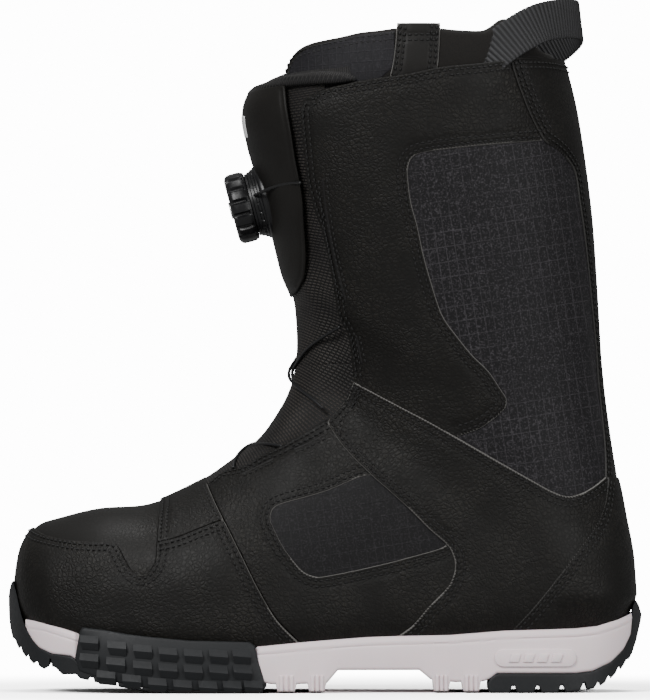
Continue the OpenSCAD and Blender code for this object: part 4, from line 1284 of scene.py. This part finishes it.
def add_liner():
    rim_o, rim_i = both(smooth_line(LINER_RIM), back=True)
    front_o, front_i = both(smooth_line([
        (-17, 285), (-13, 270), (-8, 250), (-3, 230), (5, 205), (12, 182), (17, 165), (18, 152),
    ]), back=True)
    low_o, low_i = both(smooth_line([
        (18, 152), (30, 146), (50, 134), (75, 119), (100, 103), (109, 98.5), (120, 98), (136, 103),
    ]), back=True)
    outline = np.vstack([
        rim_o[::-1], front_o, low_o[1:], on_back(139, 105), low_i[1:][::-1], front_i[::-1], rim_i,
        on_back(116.5, 306),
    ])
    liner = panel(
        "liner_cuff", outline, NEOPRENE, -LINER_DEPTH, thick=LINER_THICK, puff=0.5, edge=2.8, clamp=0, step=3.2,
    )
    ankle_blend(liner)
    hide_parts("liner_cuff")
    runs = []
    for side in (OUTER, INNER):
        line = UPPER.find(smooth_line(LINER_RIM[:10]), side)
        runs += seam_runs(line, (2.8, 5.4), -LINER_DEPTH + 0.75, place(40, 290, side))
    cloth_out = UPPER.find(smooth_line([
        (-20.4, 296), (-18.9, 301.2), (-15.4, 305.8), (-8.6, 309.4), (5, 312.8), (15, 314.9), (25, 316),
        (33, 316.8),
    ]), OUTER)
    low = UPPER.find([(33, 300), (20, 288), (0, 284), (-15, 284)], OUTER)
    cloth = panel(
        "liner_cloth", np.vstack([cloth_out, low]), LINER_RIPSTOP, -LINER_DEPTH + 0.75, thick=0.8, puff=0.1, edge=0.5,
    )
    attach(cloth, "cuff")
    # stitched tab on the outer side
    tab_line = UPPER.find([(30.5, 294), (34.2, 320.6), (55.4, 320.6), (53.4, 296)], OUTER)
    rows = [(tab_line[k : k + 2], gaps) for k, gaps in enumerate(((1.8, 4.2), (5.4, 7.8), (1.8, 4.2)))]
    tab = panel(
        "liner_tab", tab_line, SKIN, -LINER_DEPTH + 1.5, thick=1.6, puff=0.15, raw=RAW, edge=0.5, seams=rows,
        cut=[tab_line[:2], tab_line[2:]],
    )
    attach(tab, "cuff")
    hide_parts("liner_strap")
    for line, gaps in rows:
        runs += seam_runs(line, gaps, -LINER_DEPTH + 1.8, place(43, 306))
    thread = sew("liner_stitches", runs, THREAD)
    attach(thread, "cuff")
    # rolled lip of the collar
    lip_o, lip_i = both(smooth_line([
        (84, 302), (88, 302.9), (94, 303), (100, 302.8), (109, 301.9), (113, 301.3),
    ]), back=True)
    path = even_line(np.vstack([lip_o, [[lip_o[-1, 0], -1.0]], lip_i[::-1]]), 1.6)
    centre = UPPER.at(path, -0.5)
    normal = UPPER.normal(path)
    along = unit(np.gradient(centre, axis=0))
    up = np.cross(normal, along)
    taper = np.clip(np.minimum(np.arange(len(path)), np.arange(len(path))[::-1]) / 4.0, 0.35, 1)
    verts, faces = sweep(centre, normal, up, rounded(3.6, 3.0, 2.4, 16), taper)
    roll = build("collar_lip", verts, faces, SKIN)
    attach(roll, "cuff")


LOOP_ROUTE = [
    (74, -50, 299), (83, -48, 308), (93, -43.5, 315.2), (103, -35, 320.3), (113, -23, 322.4), (120, -10, 322.4),
    (122, 2, 321), (119.5, 14, 317.5), (113.5, 25, 312.5), (106, 34, 307), (99, 41, 300),
]
LOOP_HUB = (98, -4)
LOOP_RIB = 2.3


def add_loop():
    p = resample(catmull(LOOP_ROUTE, 12), 0.32)
    p = p[p[:, 2] > 300.5]
    t = unit(np.gradient(p, axis=0))
    out = np.stack([p[:, 0] - LOOP_HUB[0], p[:, 1] - LOOP_HUB[1], np.full(len(p), 2.0)], 1)
    wide = unit(np.cross(t, out))
    thick = unit(np.cross(wide, t))
    profile = rounded(18.6, 2.0, 6.0, 44)
    run = run_along(p)
    wave = 0.5 + 0.5 * np.cos(2 * np.pi * run / LOOP_RIB)
    verts, uv = [], []
    for k in range(len(p)):
        w = profile[:, 0] * (1 + 0.022 * wave[k])
        h = profile[:, 1] * (0.86 + 0.3 * wave[k])
        verts.extend(p[k] + w[:, None] * wide[k] + h[:, None] * thick[k])
        uv.extend(np.stack([np.full(len(profile), run[k]), profile[:, 0]], 1))
    faces = ring_faces(len(p), len(profile), caps=False)
    loop = build("pull_loop", verts, faces, WEBBING, uv=np.array(uv))
    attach(loop, "loop")
    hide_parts("pull_loop")


# ---------------------------------------------------------------- sole

OUTER_PLAN = [
    (-152, 7), (-150.5, -5), (-145, -20), (-134, -34), (-118, -45), (-95, -53), (-68, -55), (-38, -54), (-8, -50),
    (22, -47), (52, -45), (82, -44.5), (110, -43), (130, -36.5), (144, -24), (150.5, -10), (152, 0),
]
INNER_PLAN = [
    (-152, 7), (-150.5, 18), (-145, 29), (-134, 40), (-118, 48), (-95, 54), (-68, 55), (-38, 53), (-8, 47), (22, 42),
    (52, 41), (82, 42.5), (110, 42), (130, 36.5), (144, 24), (150.5, 10), (152, 0),
]
PLAN = {OUTER: catmull(OUTER_PLAN, 16), INNER: catmull(INNER_PLAN, 16)}


def plan_y(x, side):
    line = PLAN[side]
    return np.interp(x, line[:, 0], line[:, 1])


def stations(first, last, places=(), step=1.3):
    """x places for a loft, closer near the sole's ends and beside the given edges."""
    xs = list(np.arange(first, last, step))
    for place in places:
        xs += [place - 0.9, place - 0.45, place, place + 0.45, place + 0.9]
    for end in (-152, 152):
        sign = 1 if end < 0 else -1
        xs += [end + sign * d for d in (0.02, 0.12, 0.3, 0.6, 1.0, 1.5, 2.1, 2.8, 3.6, 4.5, 5.5)]
    xs = sorted(x for x in xs if first <= x <= last)
    xs = [first] + xs + [last]
    kept = [xs[0]]
    for x in xs[1:]:
        if x - kept[-1] > 0.12:
            kept.append(x)
    return np.array(kept)


def crease_at(below, line):
    return 0.0 if line is None else 0.35 * math.exp(-(((below - line) / 0.5) ** 2)) - 0.25 * (below < line)


def loft_x(name, xs, low, high, material, inset=0.0, corner=2.2, side_points=14, bulge=0.0, line=None):
    """A body along x between a low and a high line, as wide as the sole's plan less an inset, with round corners."""
    lows = np.interp(xs, *np.array(low, float).T)
    highs = np.interp(xs, *np.array(high, float).T)
    highs = np.maximum(highs, lows + 0.05)
    verts = []
    wall = np.linspace(0, 1, side_points)[1:-1]
    for x, z0, z1 in zip(xs, lows, highs):
        y0, y1 = plan_y(x, OUTER) + inset, plan_y(x, INNER) - inset
        if y1 - y0 < 0.4:
            middle = (y0 + y1) / 2
            y0, y1 = middle - 0.2, middle + 0.2
        r = min(corner, (z1 - z0) / 2, (y1 - y0) / 2)
        ring = []
        arc = np.linspace(0, np.pi / 2, 5)
        for a in arc:
            ring.append((y0 + r - r * np.sin(a), z1 - r + r * np.cos(a)))
        for t in wall:
            z = (z1 - r) * (1 - t) + (z0 + r) * t
            ring.append((y0 - bulge * np.sin(np.pi * t) + crease_at(z1 - z, line), z))
        for a in arc:
            ring.append((y0 + r - r * np.cos(a), z0 + r - r * np.sin(a)))
        for t in np.linspace(0, 1, 26)[1:-1]:
            ring.append(((y0 + r) * (1 - t) + (y1 - r) * t, z0))
        for a in arc:
            ring.append((y1 - r + r * np.sin(a), z0 + r - r * np.cos(a)))
        for t in wall[::-1]:
            z = (z1 - r) * (1 - t) + (z0 + r) * t
            ring.append((y1 + bulge * np.sin(np.pi * t) - crease_at(z1 - z, line), z))
        for a in arc:
            ring.append((y1 - r + r * np.cos(a), z1 - r + r * np.sin(a)))
        for t in np.linspace(0, 1, 26)[1:-1]:
            ring.append(((y1 - r) * (1 - t) + (y0 + r) * t, z1))
        verts.extend((x, y, z) for y, z in ring)
    return build(name, verts, ring_faces(len(xs), len(ring), flip=True), material)


def sharpen(obj, degrees):
    """Edges steeper than an angle stay crisp; the rest are smooth."""
    obj.data.set_sharp_from_angle(angle=math.radians(degrees))


def lug_line(base, lugs, slope=0.7):
    """A low line with lugs: (from, to, depth) each going down from the base line."""
    base = np.array(base, float)
    out = list(map(tuple, base))
    for a, b, z in lugs:
        out = [p for p in out if not a - slope < p[0] < b + slope]
        for x, t in ((a - slope, 0), (a, 1), (b, 1), (b + slope, 0)):
            level = np.interp(x, base[:, 0], base[:, 1])
            out.append((x, z if t else level))
    return sorted(out)


MIDSOLE_LOW = [
    (-143, 31), (-142.4, 29), (-140, 25), (-136.8, 21.4), (-130.7, 18.6), (-121, 17.6), (-118, 15), (-100, 10.5),
    (-75, 6.8), (-28.5, 5), (-26, 4.4), (-12, 4.4), (1, 5), (6.2, 11), (45, 11), (50.5, 6.5), (62, 5.2), (76, 5.6),
    (79, 7), (82, 9.4), (120, 9.4), (128, 10.4), (137, 14.6), (143, 20.5), (146.5, 27.5), (147.1, 34),
]
MIDSOLE_LUGS = [(-22.7, -14.4, 0.7), (-7.6, -0.2, 0.7), (52.0, 59.0, 0.8), (66.0, 73.6, 0.7)]


def side_point(x, z, side, out=0.0):
    """A place on the sole's side wall, moved out square to it."""
    y = plan_y(x, side)
    slope = plan_y(x + 0.5, side) - plan_y(x - 0.5, side)
    n = unit(np.array([slope, -1.0, 0.0]) if side == OUTER else np.array([-slope, 1.0, 0.0]))
    return np.array([x, y, z]) + n * out


def wall_patch(side, outline, out, thick, round_edge=0.8, step=1.4):
    """A slab on the sole's side wall over a side-view outline, with rounded edges. Returns points and faces."""
    outline = np.array(outline, float)
    closed = np.vstack([outline, outline[:1]])
    ring = []
    for a, b in zip(closed[:-1], closed[1:]):
        n = max(1, int(np.linalg.norm(b - a) / step))
        ring.extend(a + (b - a) * k / n for k in range(n))
    ring = np.array(ring)
    levels = [(0.0, -thick), (0.0, -round_edge), (0.3 * round_edge, -0.3 * round_edge), (round_edge, 0.0)]
    verts = []
    area = 0.5 * np.sum(closed[:-1, 0] * closed[1:, 1] - closed[1:, 0] * closed[:-1, 1])
    tangent = unit(np.roll(ring, -1, axis=0) - np.roll(ring, 1, axis=0))
    normal = np.stack([-tangent[:, 1], tangent[:, 0]], 1) * (1 if area > 0 else -1)
    for shift, level in levels:
        for p, n in zip(ring, normal):
            q = p + n * shift
            verts.append(side_point(q[0], q[1], side, out + level))
    count = len(ring)
    faces = ring_faces(len(levels), count, caps=False)
    flat = [Vector(p) for p in ring + normal * round_edge]
    points, _, tris, _, _, _ = delaunay_2d_cdt(flat, [(q, (q + 1) % count) for q in range(count)], [], 1, 1e-5)
    start = len(verts)
    for p in points:
        verts.append(side_point(p[0], p[1], side, out))
    faces.extend(tuple(i + start for i in t) for t in tris)
    faces.append(tuple(range(count)))
    return verts, faces


GRIP_END = -28.8      # no grip block reaches past this x


def wedge(side, x, z, out, rise):
    """A tread block like a shingle: its face leans out from the top edge to the bottom one."""
    corners = [
        (x - 4.6, z + 2.9, out), (x + 4.2, z + 2.2, out),
        (x + 4.7, z - 1.2, out + rise), (x - 4.1, z - 0.5, out + rise),
        (x + 4.3, z - 4.6, out + 0.3), (x - 3.4, z - 3.9, out + 0.3),
        (x - 3.4, z - 3.9, out - 2), (x + 4.3, z - 4.6, out - 2),
        (x - 4.6, z + 2.9, out - 2), (x + 4.2, z + 2.2, out - 2),
    ]
    verts = [side_point(min(px, GRIP_END), pz, side, po) for px, pz, po in corners]
    faces = [(0, 1, 2, 3), (3, 2, 4, 5), (5, 4, 7, 6), (6, 7, 9, 8), (8, 9, 1, 0), (0, 3, 5, 6, 8), (1, 9, 7, 4, 2)]
    return verts, faces


def face_out(obj, degrees, weld=False):
    """Turn every face outwards, and keep the steep edges crisp."""
    work = bmesh.new()
    work.from_mesh(obj.data)
    if weld:
        bmesh.ops.remove_doubles(work, verts=work.verts, dist=mm(0.01))
    bmesh.ops.recalc_face_normals(work, faces=work.faces)
    work.to_mesh(obj.data)
    work.free()
    sharpen(obj, degrees)
    return obj


def merge(name, parts, material):
    return face_out(build(name, *joined(parts), material), 50, weld=True)


GRIP_EDGE = [
    (-117.2, 29.5), (-116, 31.5), (-105, 30.2), (-95, 28.4), (-85, 27.2), (-65, 25.4), (-36, 24.7), (-33.4, 23),
    (-32.2, 17), (-30, 10), (-28.3, 4), (-40, 1.2), (-75, 1.2), (-90, 3.2), (-100, 5.4), (-110, 8),
    (-117.5, 10.5), (-119.5, 17),
]
GRIP_ROWS = [
    [(-112, 25), (-99, 22.5), (-87, 21), (-75, 19.6), (-63, 18.8), (-51, 18.5), (-40, 18.5)],
    [(-112, 16.4), (-99.5, 14.6), (-87, 13), (-75, 11.8), (-63, 11.1), (-51, 10.8), (-39.5, 10.8)],
    [(-104, 8.4), (-92, 6.6), (-80, 5), (-68, 4), (-56, 3.6), (-44.5, 3.6), (-34.5, 3.8)],
]
PILL = (81, 120, 12.6, 21)


def add_sole():
    low = lug_line(MIDSOLE_LOW, MIDSOLE_LUGS)
    edges = [x for a, b, _ in MIDSOLE_LUGS for x in (a, b)] + [6.2, 45, -142, -140, 79, 82]
    xs = stations(-143.4, 147.1, edges)
    high = [(x, z - 0.2) for x, z in FEATHER]
    body = loft_x("midsole", xs, low, high, FOAM, inset=0.2, corner=1.6, side_points=30, bulge=0.35, line=4.0)
    sharpen(body, 32)
    # the body is set back where the rubber wraps it
    co = np.zeros(len(body.data.vertices) * 3)
    body.data.vertices.foreach_get("co", co)
    co = co.reshape(-1, 3)
    x = co[:, 0] / MM
    depth = np.clip((x + 119) / 1.0, 0, 1) * np.clip((-31.5 - x) / 1.0, 0, 1)
    co[:, 1] -= np.sign(co[:, 1]) * mm(2.5) * depth
    body.data.vertices.foreach_set("co", co.ravel())
    body.data.update()
    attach(body, "foot")
    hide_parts("midsole")
    relief = []
    for side in (OUTER, INNER):
        x0, x1, z0, z1 = PILL
        r = (z1 - z0) / 2
        angle = np.linspace(-np.pi / 2, np.pi / 2, 12)
        outline = [(x1 - r + r * math.cos(a), z0 + r + r * math.sin(a)) for a in angle]
        outline += [(x0 + r - r * math.cos(a), z0 + r - r * math.sin(a)) for a in angle]
        relief.append(wall_patch(side, outline, 1.0, 1.4, 0.35))
        for k in range(4):
            a = x0 + 7 + k * 6.6
            outline = [(a, z0 + 2.2), (a + 4.4, z0 + 2.2), (a + 5.6, z1 - 2.2), (a + 1.2, z1 - 2.2)]
            relief.append(wall_patch(side, outline, 1.8, 1.2, 0.3))
        for x0, x1, _ in MIDSOLE_LUGS:
            for k in range(3):
                a = x0 + (x1 - x0) * (0.12 + 0.3 * k)
                outline = [(a, 8.6), (a + 1.5, 8.6), (a + 1.5, 1.2), (a, 1.2)]
                relief.append(wall_patch(side, outline, 0.95, 1.4, 0.4))
    badge = merge("midsole_relief", relief, FOAM)
    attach(badge, "foot")

    # forefoot rubber with the toe bumper
    low = [
        (-152, 43), (-151.8, 36), (-151.3, 32), (-150.4, 27.6), (-149.6, 25.2), (-148.7, 26), (-148.2, 23.6),
        (-146.6, 20.6), (-145.6, 21.6), (-145.1, 19.4), (-143.2, 16.6), (-142, 17.8), (-141.4, 15.6),
        (-139.4, 13.6), (-137.6, 15), (-136.8, 12.6), (-134.3, 11.2), (-131.9, 12.6), (-131.7, 16),
        (-130.9, 16), (-130.6, 12.6), (-128.7, 12), (-127.4, 10.6), (-125.6, 8.8), (-119, 9), (-117, 7),
        (-113, 6.2), (-112.4, 7.6), (-110.6, 7.4), (-110, 5.4), (-101.5, 3.9), (-101, 5.6), (-99, 5.4),
        (-98.4, 3.2), (-90, 1.9), (-89.4, 4), (-87.4, 3.9), (-86.8, 1.3), (-78.4, 0.3), (-77.8, 2.6),
        (-75.8, 2.6), (-75.2, 0.1), (-66.6, 0), (-66, 2.4), (-64, 2.4), (-63.4, 0), (-54.8, 0), (-54.2, 2.4),
        (-52.2, 2.4), (-51.6, 0), (-43, 0), (-42.4, 2.4), (-40.4, 2.4), (-39.8, 0.2), (-31.8, 0.6), (-30, 1.6),
        (-28, 3),
    ]
    high = [
        (-152, 46), (-151.2, 50), (-150.4, 52.4), (-149.7, 52.8), (-149, 51), (-147.9, 46.7), (-145.4, 36.8),
        (-143.4, 30.5), (-140, 25), (-136.8, 21.4), (-130.7, 18.6), (-121, 17.6), (-118, 15), (-100, 10.8),
        (-75, 7.2), (-28, 5),
    ]
    edges = [p[0] for p in low if -148 < p[0]]
    xs = stations(-152, -28, edges, 1.2)
    tread = loft_x("forefoot_outsole", xs, low, high, RUBBER, inset=-0.35, corner=0.9, side_points=8)
    sharpen(tread, 30)
    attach(tread, "foot")
    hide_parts("forefoot_outsole")
    for side, word in SIDES:
        parts = [wall_patch(side, GRIP_EDGE, 0.9, 4.2, 1.1)]
        for row in GRIP_ROWS:
            for x, z in row:
                parts.append(wedge(side, x, z, 0.95, 1.9))
        pad = merge(word + "_grip_pad", parts, RUBBER)
        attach(pad, "foot")
        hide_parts(word + "_grip_pad")

    # heel rubber
    low = [
        (78, 1.2), (79, 0.2), (88, 0), (89.4, 3.4), (90.6, 3.4), (92, 0), (99.6, 0), (101, 3.4), (102.2, 3.4),
        (103.6, 0), (111.2, 0), (112.6, 3.6), (113.8, 3.6), (115.2, 0.2), (121.6, 0.8), (123.4, 4.6),
        (124.6, 4.6), (125.2, 1.4), (128.6, 2.2), (130.8, 5.6), (131.6, 3.4), (134, 5), (135.8, 8.6),
        (136.6, 6.6), (139, 9), (140.6, 12.4), (141.4, 10.8), (143, 13), (144.4, 15.6), (145.6, 15.8),
        (147.2, 18.6), (149.4, 25), (150.6, 30), (151.6, 34), (152, 36.5),
    ]
    high = [
        (78, 5), (79, 7), (82, 9.4), (120, 9.4), (128, 10.4), (137, 14.6), (143, 20.5), (146.5, 27.5),
        (147.1, 36), (147.4, 41), (148.4, 43.3), (149.4, 43.4), (150.6, 41.4), (151.4, 38.6), (152, 37.2),
    ]
    edges = [p[0] for p in low] + [148.5]
    xs = stations(78, 152, edges, 1.2)
    heel = loft_x("heel_outsole", xs, low, high, RUBBER, inset=-0.3, corner=0.9, side_points=8)
    sharpen(heel, 30)
    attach(heel, "foot")
    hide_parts("heel_outsole")


# ---------------------------------------------------------------- dial, and the CAD nodes that stay

DIAL_SEAT = np.array([-28.5, 0, 235])
DIAL_TILT = math.radians(15)
DIAL_OUT = np.array([-math.cos(DIAL_TILT), 0, -math.sin(DIAL_TILT)])
DIAL_UP = np.array([-math.sin(DIAL_TILT), 0, math.cos(DIAL_TILT)])
DIAL_SIDE = np.array([0, 1.0, 0])
KNOB_LOBES = 16


def turned(name, profile, material, lobes=None, count=192):
    """A body turned round the dial's axis; profile is (height, radius), lobes(angle, height, radius) is
    added to the radius."""
    angle = np.linspace(0, 2 * np.pi, count, endpoint=False)
    verts = []
    for height, radius in profile:
        r = radius + (0 if lobes is None else lobes(angle, height, radius))
        ring = (r * np.cos(angle))[:, None] * DIAL_UP + (r * np.sin(angle))[:, None] * DIAL_SIDE
        verts.extend(DIAL_SEAT + DIAL_OUT * height + ring)
    return face_out(build(name, verts, ring_faces(len(profile), count), material), 40)


def add_dial():
    def grip(angle, height, radius):
        side = np.clip((height - 8.2) / 0.8, 0, 1) * np.clip((16.4 - height) / 1.2, 0, 1) * (radius > 14)
        wave = np.cos(KNOB_LOBES * angle)
        return -side * 1.5 * np.clip(-wave * 1.6 - 0.5, 0, 1)

    knob = turned("dial_knob", [
        (7.05, 11), (7.05, 15.6), (7.3, 16.2), (8.2, 16.5), (9.0, 16.9), (11.0, 17.0), (13.0, 17.0),
        (14.6, 16.9), (15.6, 16.5), (16.4, 15.7), (16.85, 14.6), (17.0, 13.4), (17.0, 12.6), (16.6, 12.0),
        (15.9, 11.6), (15.6, 11.2), (15.5, 3.4),
    ], DIAL_BLACK, grip, 384)
    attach(knob, "knob")
    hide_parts("dial_knob")
    cap = turned("dial_cap", [
        (15.5, 3.3), (15.5, 11.0), (16.0, 11.15), (16.5, 10.8), (16.85, 9.8), (16.75, 8.0), (16.6, 7.6),
        (16.85, 7.1), (17.0, 5.4), (16.95, 3.3),
    ], DIAL_GREY)
    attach(cap, "knob")
    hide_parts("dial_cap")

    def notched(angle, height, radius):
        return -0.45 * (np.cos(24 * angle) > 0.55) * (2.7 < height < 4.0) * (radius > 14)

    base = turned("dial_base", [
        (-5.5, 13), (-5.5, 18.6), (-1.0, 19.0), (0.6, 18.9), (1.3, 18.3), (1.6, 17.5), (2.4, 17.3), (2.8, 16.7),
        (3.8, 16.5), (4.2, 15.9), (5.4, 15.7), (5.8, 15.2), (6.8, 15.1), (7.0, 14.8), (7.0, 11.6),
    ], DIAL_BLACK, notched, 288)
    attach(base, "tongue")
    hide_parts("dial_mount", "dial_housing")


# The cable guides as sewn strips: body, side view line, half width, height over the surface. They follow the photo,
# and are longer than the CAD's patches and not at the same places.
GUIDE_LINES = [
    ("foot", [(-40.5, 103.2), (-32, 107.3), (-23, 112)], 0.9, 1.4),
    ("foot", [(-15.5, 115.4), (-7, 119.2), (0.6, 123.4)], 0.9, 1.4),
    ("foot", [(11.4, 136), (13.5, 141), (16, 146.5)], 1.0, 2.3),
    ("cuff", [(-0.5, 247), (1, 232), (4, 214), (7.7, 198), (10.7, 187)], 1.0, 1.65),
    ("cuff", [(15.5, 172), (17, 164), (18.5, 157)], 0.9, 1.65),
]

KEPT = {
    "lasting_board": BOARD, "shank": STEEL, "footbed": FOAM_DARK, "liner_toe_box": NEOPRENE, "liner_heel": NEOPRENE,
    "dial_spool": DIAL_BLACK, "ratchet_wheel": STEEL, "dial_screw": STEEL,
}


def finish_kept_nodes():
    for node, material in KEPT.items():
        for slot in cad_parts[node].material_slots:
            slot.material = material


def add_guides():
    """The cable guides, with a row of stitches on each side."""
    runs = {"foot": [], "cuff": []}
    pieces = {"foot": [], "cuff": []}
    for side, word in SIDES:
        for body, line, wide, lift in GUIDE_LINES:
            middle = even_line(UPPER.find(smooth_line(line), side), 0.8)
            ring = np.vstack([step_in(middle, False, wide), step_in(middle, False, -wide)[::-1]])
            pieces[body].append(panel(
                word + "_" + body + "_slot", ring, GUIDE, lift, thick=1.4, puff=0.15, edge=0.5, step=1.6,
            ))
            for gap in (wide + 1.2, -wide - 1.2):
                row = step_in(middle, False, gap)[1:-1]
                runs[body].append((UPPER.at(row, lift + 0.1), UPPER.normal(row)))
    for body, made in pieces.items():
        bpy.ops.object.select_all(action="DESELECT")
        for obj in made:
            obj.select_set(True)
        bpy.context.view_layer.objects.active = made[0]
        bpy.ops.object.join()
        made[0].name = body + "_guides"
        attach(made[0], body)
        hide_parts("lower_guides" if body == "foot" else "cuff_guides")
        thread = sew(body + "_guide_stitches", runs[body], THREAD)
        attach(thread, body)


add_camera()
add_stage()
add_light("key", (-2.2, -3.6, 3.0), (0, 0, 0.15), 255, (2.0, 2.0))
add_light("fill", (3.2, -3.4, 1.4), (0, 0, 0.15), 125, (2.6, 2.6))
add_light("top", (0.2, 0.4, 4.2), (0, 0, 0.15), 120, (2.6, 2.0))
add_laces()
add_foot_panels()
add_shaft_panels()
add_tongue()
add_liner()
add_loop()
add_sole()
add_dial()
add_guides()
finish_kept_nodes()
